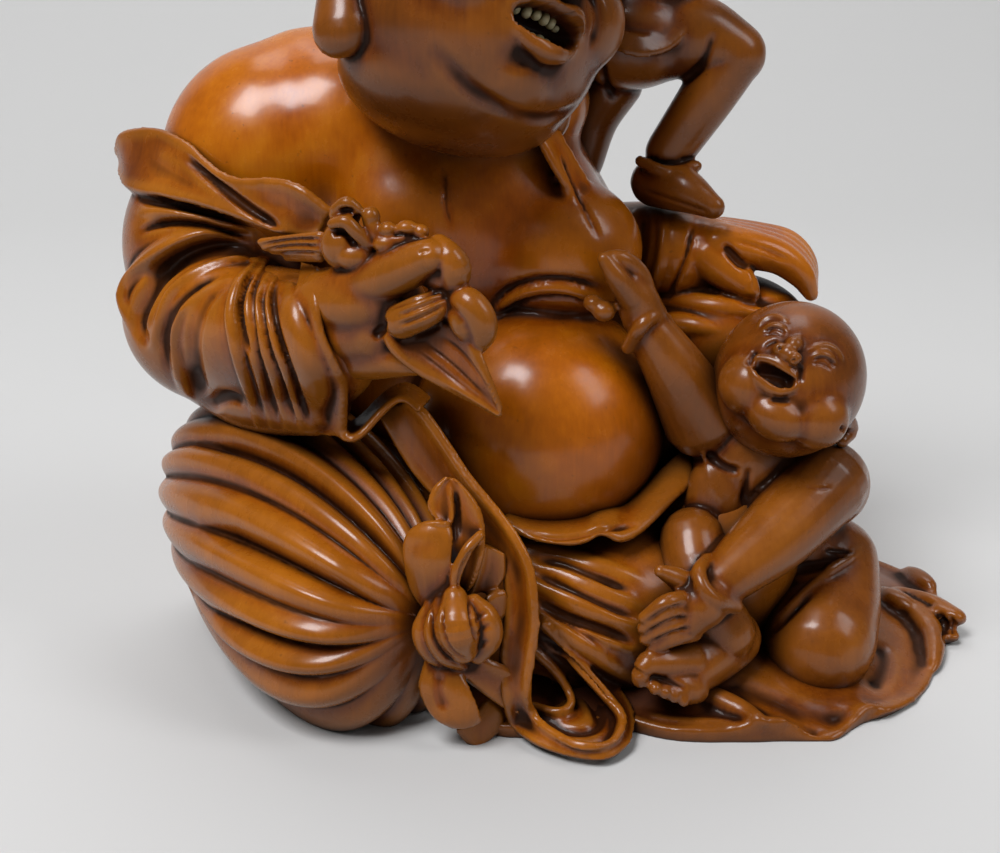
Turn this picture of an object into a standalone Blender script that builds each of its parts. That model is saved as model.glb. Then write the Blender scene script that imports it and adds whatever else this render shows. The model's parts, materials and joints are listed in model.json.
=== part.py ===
"""A seated laughing figure with two children and a tied sack, carved from one block of boxwood.

Lengths are in millimetres: X to the viewer's right, Y away from the viewer, Z up, the ground at
Z = 0.  Each mass of the carving is an egg, a limb, a ribbon or a leaf of clay.  They are joined
as one skin, the folds are laid on it or cut into it along lines, and the skin is cut flat below.
Two strips of bone teeth stand in the mouth.
"""

import math

import bmesh
import bpy
import numpy as np
from mathutils import Euler, Matrix, Vector
from mathutils.bvhtree import BVHTree

MM = 0.001

# How the photograph sees the carving: the eye, its tilt, and the focal length in pixels of a
# 1000 x 853 frame.  Lines and places given as (u, v) are pixels, laid on the clay through this eye.
EYE = Vector((0, -320.7, 166.4))
EYE_TILT = 20
FOCAL = 1388.9
FRAME_MIDDLE = (500, 426.5)

# The grid that the skin is joined on, and how many triangles it keeps
SKIN_GRID = 0.9
SKIN_TRIANGLES = 11000
ROUND = 14

# Main figure: trunk
BELLY_AT = (9, -12, 55)
BELLY_HALF = (30, 31.5, 30)
CHEST_AT = (-11, 2, 100)
CHEST_HALF = (36, 26, 29)
SHOULDER_AT = (-51, 5, 112)
SHOULDER_HALF = (28, 25, 29)
NECK_AT = (-6, 2, 128)
NECK_HALF = (27, 22, 17)
ROBE_RINGS = [(-4, 6, 8, 58, 40), (16, 4, 9, 55, 38), (40, 0, 12, 49, 33), (66, -4, 14, 45, 31),
              (90, -7, 14, 42, 29), (108, -12, 14, 37, 24), (122, -10, 12, 27, 19), (132, -8, 9, 16, 12)]
ROBE_FOLD_DEEP = 1.7
LAP_AT = (4, -8, 20)
LAP_HALF = (60, 44, 25)

# Main figure: head, in its own frame (front is -Y)
HEAD_AT = (-5, -19, 155)
HEAD_TURN, HEAD_LEAN, HEAD_NOD = 36, 22, -8
SKULL_HALF = (28.5, 31, 31)
JAW_HALF = (28, 25, 24)
EAR_OUT = 29
EAR_LONG = 46
EYE_APART, EYE_UP = 11, 9
MOUTH_DOWN, MOUTH_HALF = -11, 9.5

# Teeth: two strips of inlaid bone
TOOTH_WIDE = 2.1
TOOTH_TALL = 2.6
TOOTH_DEEP = 2.2
TEETH = 6
TOOTH_GAP = 0.3

# Sack: a bag drawn together at its knot
SACK_MOUTH = (-16, -59, 26)
SACK_END = (-72.5, 16, 29)
SACK_HALF_WIDE, SACK_HALF_HIGH = 29.5, 30.5
KNOT_AT = (-13, -60, 27)
# Each fold: its angle round the knot, its height, and how far from the knot it reaches.
SACK_FOLDS = [
    (44, 1.4, 90), (52, -1.6, 50), (59, 1.2, 90), (66, -2.4, 60), (75, 1.2, 90), (81, -1.2, 55), (89, 1.0, 90),
    (96, -0.9, 62), (105, 1.6, 90), (113, -3.6, 74), (121, 1.7, 90), (130, -1.1, 90), (140, 1.5, 90),
    (151.5, -4.2, 58), (159, 1.3, 90), (169, -1.3, 60), (177, 1.4, 90), (185.5, -4.2, 50), (193, 1.3, 90),
    (201, -2.2, 52), (211, 1.4, 90), (223, -2.4, 44), (236, 1.3, 90), (248, -2.0, 70),
]
BACK_PLEATS = 8
BACK_PLEAT_DEEP = 1.3

# Base cloth
# The front edge as it is seen, with the height of its lip in millimetres, and then the back edge.
CLOTH_FRONT = [(627, 731, 3.6), (666, 740, 3.0), (700, 743, 3.4), (730, 743, 3.6), (757, 743, 5.4), (781, 742, 5.6),
               (800, 742, 3.8), (818, 742, 1.5), (836, 741, 1.2), (852, 731, 2.4), (868, 722, 4.0), (888, 717, 2.6),
               (912, 703, 1.6), (928, 688, 1.4), (936, 664, 1.8), (940, 648, 3.0)]
CLOTH_BACK = [(108, -14, 4.5), (112, 2, 5), (106, 16, 4), (94, 27, 4), (70, 36, 4), (30, 41, 4), (-20, 41, 4),
              (-56, 30, 4), (-46, 0, 3), (-24, -38, 3), (-2, -60, 3)]
CLOTH_SLAB = 2.2

# Kneeling child
CHILD_HEAD_AT = (63, -30, 70)
CHILD_HEAD_HALF = (16.6, 17.4, 17.6)
CHILD_TURN, CHILD_LEAN, CHILD_NOD = -14, 24, -34

# Climbing child
CLIMBER_HEAD_AT = (36, 8, 193)
CLIMBER_HEAD_HALF = (14.5, 15.5, 16)


def smooth_path(points, step):
    """Points about a step apart on the smooth curve through the given ones."""
    keys = [np.array(p, float) for p in points]
    keys = [2 * keys[0] - keys[1], *keys, 2 * keys[-1] - keys[-2]]
    found = []
    for a, b, c, d in zip(keys, keys[1:], keys[2:], keys[3:]):
        count = max(2, round(np.linalg.norm((c - b)[:3]) / step))
        for t in np.arange(count) / count:
            bend = (2 * a - 5 * b + 4 * c - d) * t**2 + (3 * b - a - 3 * c + d) * t**3
            found.append(0.5 * (2 * b + (c - a) * t + bend))
    return [*found, keys[-2]]


def sight(u, v):
    """The direction in which the eye sees a pixel."""
    tilt = math.radians(EYE_TILT)
    right, rise = (u - FRAME_MIDDLE[0]) / FOCAL, (FRAME_MIDDLE[1] - v) / FOCAL
    ahead = Vector((0, math.cos(tilt), -math.sin(tilt)))
    return (ahead + Vector((right, 0, 0)) + Vector((0, math.sin(tilt), math.cos(tilt))) * rise).normalized()


def at(u, v, deep):
    """The point seen at a pixel, this far back (Y) in millimetres."""
    ray = sight(u, v)
    return EYE + ray * ((deep - EYE.y) / ray.y)


def low(u, v, height):
    """The point seen at a pixel, this far above the ground in millimetres."""
    ray = sight(u, v)
    return EYE + ray * ((height - EYE.z) / ray.z)


class Clay:
    """Masses put together in one mesh, each placed in the clay's frame."""

    def __init__(self, frame=None):
        self.bm = bmesh.new()
        self.frame = frame or Matrix.Identity(4)

    def ball(self, at, half, turn=(0, 0, 0)):
        """An egg with these half-lengths, turned by angles in degrees."""
        angles = Euler([math.radians(a) for a in turn]).to_matrix().to_4x4()
        place = self.frame @ Matrix.Translation(at) @ angles @ Matrix.Diagonal((*half, 1))
        bmesh.ops.create_icosphere(self.bm, subdivisions=4, radius=1, matrix=place)

    def loft(self, rings):
        """A closed shape through rings of points."""
        loops = [[self.bm.verts.new(self.frame @ Vector(p)) for p in ring] for ring in rings]
        for low, high in zip(loops, loops[1:]):
            for i, corner in enumerate(low):
                j = (i + 1) % len(low)
                self.bm.faces.new((corner, low[j], high[j], high[i]))
        self.bm.faces.new(loops[0][::-1])
        self.bm.faces.new(loops[-1])

    def limb(self, path, radii, flat=1.0, facing=(0.31, 0.17, 0.93)):
        """A round-ended limb along a smooth path, squeezed by flat along the way it faces."""
        if isinstance(radii, (int, float)):
            radii = [radii] * len(path)
        line = smooth_path([(*p, r) for p, r in zip(path, radii)], max(1.0, min(radii) * 0.7))
        centres = [Vector(k[:3]) for k in line]
        steps = [(b - a).normalized() for a, b in zip(centres, centres[1:])]
        ahead = [steps[0], *[(a + b).normalized() for a, b in zip(steps, steps[1:])], steps[-1]]
        last = len(line) - 1
        cap = [(math.sin(a), math.cos(a)) for a in (1.4, 0.95, 0.45)]
        stations = [(0, -s, c) for s, c in cap] + [(i, 0, 1) for i in range(last + 1)]
        stations += [(last, s, c) for s, c in cap[::-1]]
        rings = []
        for i, along, share in stations:
            n = (Vector(facing) - Vector(facing).dot(ahead[i]) * ahead[i]).normalized()
            b = ahead[i].cross(n)
            r = max(0.3, line[i][3])
            middle = centres[i] + ahead[i] * along * r
            turns = [math.tau * k / ROUND for k in range(ROUND)]
            rings.append([middle + (b * math.cos(a) + n * flat * math.sin(a)) * r * share for a in turns])
        self.loft(rings)

    def ribbon(self, near_edge, far_edge, thick, belly=0.0):
        """A band of cloth between two edges of as many points, its middle raised by belly."""
        pairs = smooth_path([(*a, *b) for a, b in zip(near_edge, far_edge)], 1.6)
        rings = []
        for i, pair in enumerate(pairs):
            a, b = Vector(pair[:3]), Vector(pair[3:])
            before, after = pairs[max(0, i - 1)], pairs[min(len(pairs) - 1, i + 1)]
            ahead = Vector(after[:3] + after[3:]) - Vector(before[:3] + before[3:])
            out = ahead.cross(b - a).normalized()
            edge = (b - a).normalized() * thick / 2
            section = []
            for side in (1, -1):
                for share in (0, 0.25, 0.5, 0.75, 1)[::side]:
                    lift = out * (side * thick / 2 + belly * math.sin(math.pi * share))
                    section.append(a.lerp(b, share) + lift)
                section.append((b + edge if side > 0 else a - edge))
            rings.append(section)
        self.loft(rings)

    def fold(self, line, width, rise=0.5):
        """A rounded fold along a line on the clay, sunk into it but for its rise, fading at its ends."""
        points, facing = laid(BVHTree.FromBMesh(self.bm), line)
        count = len(points) - 1
        if count < 2:
            return
        radii = [width * (0.3 + 0.7 * max(0, math.sin(math.pi * i / count)) ** 0.6) for i in range(count + 1)]
        centres = [p + n * r * (rise - 1) for p, n, r in zip(points, facing, radii)]
        self.limb([Vector(c) for c in centres], radii)

    def carve(self, lines):
        """Raises or hollows the clay along lines of (path, half-width, height)."""
        spots = np.array([v.co for v in self.bm.verts])
        normals = np.array([v.normal for v in self.bm.verts])
        cut_lines(spots, normals, BVHTree.FromBMesh(self.bm), lines)
        for vert, spot in zip(self.bm.verts, spots):
            vert.co = spot
        self.bm.normal_update()

    def skin(self, grid, soft):
        """Everything joined as one skin, smoothed a few times."""
        mesh = bpy.data.meshes.new("clay")
        bmesh.ops.recalc_face_normals(self.bm, faces=self.bm.faces)
        self.bm.to_mesh(mesh)
        obj = bpy.data.objects.new("clay", mesh)
        bpy.context.scene.collection.objects.link(obj)
        join = obj.modifiers.new("join", "REMESH")
        join.mode = "VOXEL"
        join.voxel_size = grid
        ease = obj.modifiers.new("ease", "SMOOTH")
        ease.factor = 0.5
        ease.iterations = soft
        graph = bpy.context.evaluated_depsgraph_get()
        skin = bpy.data.meshes.new_from_object(obj.evaluated_get(graph))
        bpy.data.objects.remove(obj)
        return skin

    def settle(self, grid, soft):
        """The same clay with its masses joined and eased into one another."""
        skin = self.skin(grid, soft)
        self.bm.clear()
        self.bm.from_mesh(skin)
        self.bm.normal_update()

    def add(self, other):
        """Another clay, put with this one."""
        mesh = bpy.data.meshes.new("other")
        other.bm.to_mesh(mesh)
        self.bm.from_mesh(mesh)


def laid(skin, line, leap=7):
    """(points, normals) of a line on the skin: drawn in pixels it is seen there, in space it is nearest."""
    runs = [[]]
    for p in smooth_path(line, 4 if len(line[0]) == 2 else 1):
        if len(p) == 3:
            hit, normal, _, _ = skin.find_nearest(Vector(p))
        else:
            hit, normal, _, _ = skin.ray_cast(EYE, sight(*p))
        if hit is None:
            continue
        if runs[-1] and (hit - runs[-1][-1][0]).length > leap:
            runs.append([])
        runs[-1].append((hit, normal))
    points, facing = ([np.array(v) for v in side] for side in zip(*max(runs, key=len))) if runs[0] else ([], [])
    for _ in range(3 if len(line[0]) == 2 and len(points) > 2 else 0):
        points = [points[0], *((a + 2 * b + c) / 4 for a, b, c in zip(points, points[1:], points[2:])), points[-1]]
        facing = [facing[0], *(a + 2 * b + c for a, b, c in zip(facing, facing[1:], facing[2:])), facing[-1]]
        facing = [n / max(1e-6, np.linalg.norm(n)) for n in facing]
    return points, facing


def cut_lines(spots, normals, skin, lines):
    """Raises or hollows the skin along lines of (path, half-width, height) in millimetres."""
    for line, half, height in lines:
        points, facing = laid(skin, line)
        if len(points) < 3:
            continue
        points, facing = np.array(points), np.array(facing)
        inside = (spots > points.min(0) - half) & (spots < points.max(0) + half)
        near = np.flatnonzero(inside.all(1))
        if not len(near):
            continue
        start, span = points[:-1], points[1:] - points[:-1]
        apart = spots[near][:, None] - start
        share = np.clip((apart * span).sum(2) / np.maximum((span * span).sum(1), 1e-9), 0, 1)
        gap = np.linalg.norm(apart - share[..., None] * span, axis=2)
        best = gap.argmin(1)
        row = np.arange(len(near))
        away = np.minimum(1, gap[row, best] / half)
        along = (best + share[row, best]) / len(span)
        fade = np.minimum(1, 5 * np.minimum(along, 1 - along) + 0.05)
        profile = (1 - away) ** 1.5 * (1 + 1.5 * away) if height < 0 else (1 - away**2) ** 2
        same = (normals[near] * facing[best]).sum(1) > -0.2
        spots[near] += normals[near] * (height * profile * fade * same)[:, None]


def head_frame(at, turn, lean, nod):
    """The frame of a head that is turned, leant and nodded by these angles in degrees."""
    spin = Matrix.Rotation(math.radians(turn), 4, "Z")
    tip = Matrix.Rotation(math.radians(lean), 4, "Y")
    bow = Matrix.Rotation(math.radians(nod), 4, "X")
    return Matrix.Translation(at) @ spin @ tip @ bow


def head():
    """The main figure's head: calm, bald, long ear lobes, lips parted on the inlaid teeth."""
    clay = Clay(head_frame(HEAD_AT, HEAD_TURN, HEAD_LEAN, HEAD_NOD))
    clay.ball((0, 3, 7), SKULL_HALF)
    clay.ball((0, -3, -11), JAW_HALF)
    clay.ball((0, 0, -23), (25, 22, 13))
    clay.ball((0, -17, -21), (11, 9, 9))
    for side in (-1, 1):
        clay.ball((side * 14, -16, -5), (12, 11, 11))
    clay.settle(1.2, 8)
    clay.limb([(0, -27, 13), (0, -31, 5), (0, -33.5, -1)], [2.6, 3.2, 4.2])
    for side in (-1, 1):
        clay.ball((side * 4, -30, -2), (3, 3.2, 2.8))
        clay.ball((side * EYE_APART, -25.5, EYE_UP), (6, 3.4, 3.2))
        clay.limb([(side * 4, -28.5, 14), (side * 12, -27, 17), (side * 20, -20, 15)], [1.6, 2, 1.2])
        clay.limb([(side * EAR_OUT, 4, EAR_LONG * 0.34), (side * (EAR_OUT + 2.5), 8, EAR_LONG * 0.12),
                   (side * EAR_OUT, 4, -EAR_LONG * 0.14), (side * (EAR_OUT - 1), 0, -EAR_LONG * 0.42)],
                  [4, 6, 4, 5.4], flat=0.75, facing=(side, -0.4, 0))
    lip = MOUTH_HALF + 1
    clay.limb([(-lip, -24.5, MOUTH_DOWN), (0, -28.6, MOUTH_DOWN + 2.6), (lip, -24.5, MOUTH_DOWN)], [1, 2, 1])
    clay.limb([(-lip, -24.5, MOUTH_DOWN), (0, -27.5, MOUTH_DOWN - 5), (lip, -24.5, MOUTH_DOWN)], [1, 2.3, 1])
    return clay


def trunk():
    """Belly, chest, bare right shoulder and robed back, eased into one another."""
    BACK_FOLDS = [
        ([(-70, 14, 112), (-52, 32, 116), (-30, 38, 122), (-8, 32, 130), (8, 20, 134)], 5, 2.6),
        ([(-66, 24, 100), (-48, 38, 100), (-20, 45, 96), (12, 42, 80), (40, 26, 66)], 6, 2.8),
        ([(-62, 28, 84), (-44, 40, 76), (-16, 46, 62), (16, 44, 44), (46, 32, 30)], 6, 2.8),
        ([(-58, 34, 66), (-42, 42, 52), (-18, 48, 34), (8, 48, 16)], 5, 2.2),
        ([(-62, 24, 108), (-40, 38, 108), (-12, 40, 108), (14, 36, 96), (30, 28, 84)], 3, -1.6),
        ([(-62, 28, 92), (-44, 40, 88), (-16, 46, 78), (14, 44, 62), (42, 30, 48)], 3.4, -1.8),
    ]
    CHEST_LINES = [
        ([(444, 166), (446, 195), (451, 230)], 1.1, -0.5),
        ([(492, 316), (512, 297), (540, 288), (572, 290), (604, 303)], 1.8, 1.2),
        ([(490, 306), (512, 288), (545, 279), (580, 282), (606, 292)], 1.6, -1.1),
        ([(494, 322), (516, 304), (545, 297), (575, 298), (600, 308)], 0.9, -0.7),
        ([(560, 150), (572, 180), (592, 222), (600, 240)], 1.0, -0.7),
    ]
    clay = Clay()
    clay.ball(CHEST_AT, CHEST_HALF, (0, -6, 0))
    clay.ball((-19, -9, 103), (21, 17, 18))
    clay.ball((13, -9, 96), (20, 17, 17))
    clay.ball(SHOULDER_AT, SHOULDER_HALF)
    clay.ball((-36, 2, 118), (26, 21, 24))
    clay.ball(at(322, 122, 8), (24, 20, 22))
    clay.ball((-24, 0, 108), (24, 22, 24))
    clay.ball((20, 12, 86), (18, 17, 15))
    clay.ball(NECK_AT, NECK_HALF)
    rings = []
    for height, x, y, wide, deep in smooth_path(ROBE_RINGS, 3):
        ring = []
        for i in range(140):
            turn = math.tau * i / 140
            behind = max(0, math.sin(turn)) ** 0.5
            swell = 1 + behind * ROBE_FOLD_DEEP / wide * math.sin(turn * 13 + height * 0.045)
            ring.append((x + wide * swell * math.cos(turn), y + deep * swell * math.sin(turn), height))
        rings.append(ring)
    clay.loft(rings)
    clay.settle(1.3, 44)
    clay.ball(BELLY_AT, BELLY_HALF)
    clay.ribbon([at(555, 128, -14), at(571, 154, -14), at(586, 182, -12), at(604, 222, -8)],
                 [at(537, 134, -19), at(550, 161, -20), at(568, 190, -19), at(594, 232, -14)], 2.4, 0.6)
    clay.settle(SKIN_GRID, 2)
    clay.carve([*BACK_FOLDS, *CHEST_LINES])
    return clay


def right_sleeve():
    """The robe that has slipped off the right shoulder: turned-out collar, bundled folds, open cuff."""
    clay = Clay()
    clay.ball((-64, 2, 94), (24.5, 24, 27))
    clay.ball((-66, -6, 80), (22, 21, 21))
    clay.limb([(-66, -8, 78), (-54, -22, 79), (-40, -36, 81)], [20, 19, 15], 0.75, (0.6, -0.8, 0))
    clay.limb([(-66, -4, 70), (-54, -18, 67), (-40, -34, 68)], [14, 12, 8])
    clay.settle(1.0, 18)
    COLLAR_RIM = [at(118, 152, 8), at(122, 136, 4), at(140, 131, -2), at(160, 132, -7), at(176, 139, -12),
                  at(192, 149, -16), at(206, 163, -20), at(223, 176, -24), at(242, 182, -27), at(264, 181, -30),
                  at(285, 183, -33), at(302, 190, -35), at(317, 201, -36), at(332, 213, -37)]
    COLLAR_FOOT = [at(121, 172, 4), at(128, 186, -4), at(142, 191, -10), at(159, 193, -14), at(172, 196, -17),
                   at(188, 199, -20), at(203, 203, -23), at(219, 208, -26), at(236, 214, -29), at(254, 221, -31),
                   at(270, 227, -32), at(284, 231, -34), at(300, 234, -35), at(318, 236, -37)]
    clay.ribbon(COLLAR_RIM, COLLAR_FOOT, 2.2, 0.8)
    clay.ribbon([at(316, 266, -41), at(317, 300, -44), at(322, 337, -46), at(338, 370, -46), at(346, 388, -45),
                   at(344, 436, -42)],
                  [at(300, 264, -38), at(300, 300, -41), at(306, 340, -42), at(318, 380, -42), at(326, 400, -41),
                   at(326, 434, -38)], 2.2)
    clay.ribbon([at(342, 437, -43), at(352, 439, -44), at(362, 434, -43), at(380, 414, -41), at(395, 401, -40),
                   at(406, 400, -40), at(420, 411, -42)],
                  [at(335, 420, -33), at(350, 424, -33), at(364, 416, -32), at(382, 398, -31), at(396, 388, -30),
                   at(410, 386, -30), at(430, 400, -32)], 1.8)
    SLEEVE_LINES = [
        ([(186, 158), (204, 174), (232, 196), (256, 213), (282, 230)], 1.5, -1.7),
        ([(150, 150), (190, 170), (220, 190)], 3.0, 0.5),
        ([(137, 199), (175, 205), (220, 215), (258, 227), (282, 234)], 1.5, -2.2),
        ([(137, 212), (175, 212), (220, 221), (256, 231)], 2.0, 1.0),
        ([(138, 233), (154, 225), (183, 222), (220, 228), (252, 236)], 1.4, -2.0),
        ([(131, 332), (125, 298), (140, 268), (175, 244), (215, 233), (258, 236)], 3.0, 2.2),
        ([(147, 348), (137, 322), (150, 288), (176, 258), (215, 242), (254, 240)], 3.4, -3.4),
        ([(150, 352), (160, 321), (171, 294), (197, 273), (230, 262), (268, 261)], 2.2, 1.4),
        ([(168, 372), (168, 335), (180, 305), (204, 281), (232, 272)], 2.2, -1.0),
        ([(189, 404), (180, 375), (174, 345), (179, 315), (197, 291)], 2.4, 1.3),
        ([(203, 412), (197, 372), (194, 335), (206, 300), (230, 278)], 3.0, -1.0),
        ([(262, 422), (254, 400), (240, 362), (232, 326), (233, 303), (243, 278), (264, 262)], 2.2, 1.4),
        ([(261, 261), (246, 284), (241, 309), (245, 339), (250, 356)], 1.3, -2.3),
        ([(270, 264), (256, 284), (252, 309), (258, 346), (267, 380), (279, 424)], 1.3, -2.0),
        ([(279, 268), (265, 289), (262, 309), (270, 346), (283, 382), (297, 428)], 1.2, -1.9),
        ([(286, 269), (275, 286), (273, 308), (280, 340), (293, 374), (310, 428)], 1.3, -2.2),
        ([(206, 408), (228, 396), (244, 402)], 2.6, -1.2),
        ([(298, 276), (294, 300), (304, 345), (320, 388)], 3.4, 0.5),
    ]
    clay.settle(SKIN_GRID, 2)
    clay.carve(SLEEVE_LINES)
    return clay


def right_hand():
    """The raised right hand, the whisk with its carved head above and its leaf below."""
    clay = Clay()
    clay.limb([at(262, 318, -22), at(330, 326, -36), at(374, 322, -43)], [12, 10.8, 8.8])
    clay.ball(at(388, 312, -45), (8.6, 7, 9.5))
    clay.limb([at(345, 360, -41), at(385, 360, -46), at(416, 366, -50)], [4.2, 4.2, 2.2])
    clay.limb([at(338, 291, -43), at(370, 281, -48), at(404, 267, -52), at(429, 255, -55)], [5.2, 5.4, 4.6, 3.2])
    clay.settle(0.7, 6)
    clay.limb([at(441, 250, -53), at(449, 264, -54), at(453, 280, -54)], [3.0, 3.9, 3.2])
    clay.limb([at(460, 300, -54), at(472, 314, -57), at(480, 330, -57), at(477, 346, -56)], [3.4, 4.2, 3.7, 2.2])
    clay.ball(at(342, 247, -47), (4.5, 4, 5.3), (0, 15, 0))
    clay.ball(at(352, 258, -49), (3.6, 3, 3))
    clay.ball(at(347, 209, -47), (3.0, 2.2, 1.8))
    clay.limb([at(327, 228, -50), at(340, 220, -51), at(352, 224, -51), at(364, 243, -50)], [0.8, 1.1, 1.1, 0.8])
    clay.ball(at(370, 217, -49), (2.0, 1.9, 2.0))
    clay.limb([at(368, 222, -49), at(378, 232, -50)], [1.6, 1.5])
    for u, v, half in [(407, 227, (2.6, 1.8, 1.5)), (424, 231, (1.8, 1.6, 1.8)), (400, 238, (3, 1.8, 1.4)),
                       (388, 230, (1.7, 1.6, 1.5)), (414, 240, (2.4, 1.6, 1.2))]:
        clay.ball(at(u, v, -51), half)
    clay.limb([at(254, 246, -33), at(288, 243, -38), at(322, 244, -43)], [1.6, 3.4, 3.6], 0.7, (0, -1, 0.3))
    clay.limb([at(402, 321, -54), at(424, 311, -56), at(444, 302, -54)], [3.6, 3.5, 2.8])
    clay.ribbon([at(414, 334, -53), at(441, 325, -53), at(470, 344, -57), at(486, 374, -59), at(501, 412, -60)],
                [at(394, 344, -51), at(414, 363, -53), at(440, 379, -55), at(470, 396, -58), at(500, 414, -60)], 1.8, 0.7)
    clay.limb([at(390, 310, -50), at(390, 340, -52), at(414, 366, -54), at(455, 390, -57), at(500, 414, -60)],
              [1.5, 1.7, 1.6, 1.4, 0.7])
    HAND_LINES = [
        ([(328, 232), (340, 227), (355, 244)], 0.9, -1.0),
        ([(331, 212), (347, 217), (362, 211)], 0.7, -0.6),
        ([(256, 240), (290, 236), (320, 236)], 0.6, -0.6),
        ([(256, 246), (290, 242), (320, 243)], 0.6, -0.6),
        ([(262, 252), (292, 248), (321, 249)], 0.6, -0.6),
        ([(395, 317), (421, 307), (447, 296)], 0.7, -0.7),
        ([(398, 326), (424, 316), (446, 304)], 0.7, -0.7),
        ([(390, 309), (416, 299), (444, 289)], 0.7, -0.6),
        ([(412, 337), (428, 331), (440, 325)], 0.9, -0.9),
        ([(428, 344), (455, 366), (488, 398)], 0.5, -0.3),
        ([(418, 350), (448, 374), (484, 402)], 0.5, -0.3),
        ([(442, 336), (464, 354), (490, 392)], 0.5, -0.3),
        ([(372, 338), (384, 328), (386, 318)], 1.4, -1.0),
        ([(418, 254), (424, 250), (430, 252)], 0.6, -0.3),
    ]
    clay.settle(SKIN_GRID, 1)
    clay.carve(HAND_LINES)
    return clay


def left_arm():
    """The left arm, its hand resting on the raised and robed left knee."""
    clay = Clay()
    clay.limb([at(590, 256, 14), at(640, 250, 9), at(682, 256, 5)], [12.4, 11.8, 11.2])
    clay.limb([(16, 16, 80), (32, 15, 78), (46, 12, 80)], [14, 12.5, 10])
    clay.ball((54, 3, 73), (21, 17, 14.5))
    clay.ball((54, 6, 50), (21, 19, 28))
    clay.ball((34, -2, 60), (16, 16, 20))
    clay.settle(0.9, 12)
    clay.limb([at(677, 256, 5), at(684, 258, 5)], [11.8, 11.8])
    clay.limb([at(684, 247, 4), at(708, 248, 1), at(732, 250, 0)], [6.8, 7.4, 6.0])
    clay.limb([at(706, 256, -2), at(730, 274, -5), at(745, 287, -7), at(751, 300, -8)], [5.6, 4.6, 3.4, 2.2])
    for i in range(4):
        back = -3 + i * 3.4
        clay.limb([at(718 + i, 244 - 2 * i, back + 1), at(752 + 2 * i, 250 - 3 * i, back), at(780 + 2 * i, 258 - 4 * i, back),
                  at(801 + i, 275 - 4 * i, back), at(811, 294 - 2 * i, back)], [5.2, 4.6, 4.0, 3.2, 1.8])
    for line, width, rise in [
        ([(628, 312), (672, 300), (728, 306), (790, 318)], 3.0, 0.5),
        ([(632, 340), (668, 322), (716, 330)], 3.2, 0.5),
        ([(640, 372), (664, 350), (692, 350)], 2.6, 0.5),
    ]:
        clay.fold(line, width, rise)
    ARM_LINES = [
        ([(644, 206), (640, 248), (630, 292)], 2.4, -0.9),
        ([(664, 210), (662, 250), (652, 296)], 1.8, 0.8),
        ([(618, 210), (614, 240), (612, 262)], 2.2, -0.9),
        ([(693, 224), (684, 262), (667, 300)], 1.0, -0.9),
        ([(740, 300), (765, 303), (795, 300)], 2.0, -0.8),
        ([(738, 266), (745, 270), (751, 280), (748, 288)], 1.0, 0.5),
        ([(722, 242), (738, 262), (748, 272)], 1.6, -1.0),
        ([(733, 240), (760, 248), (790, 262)], 1.0, -0.5),
    ]
    clay.settle(SKIN_GRID, 1)
    clay.carve(ARM_LINES)
    return clay


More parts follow.
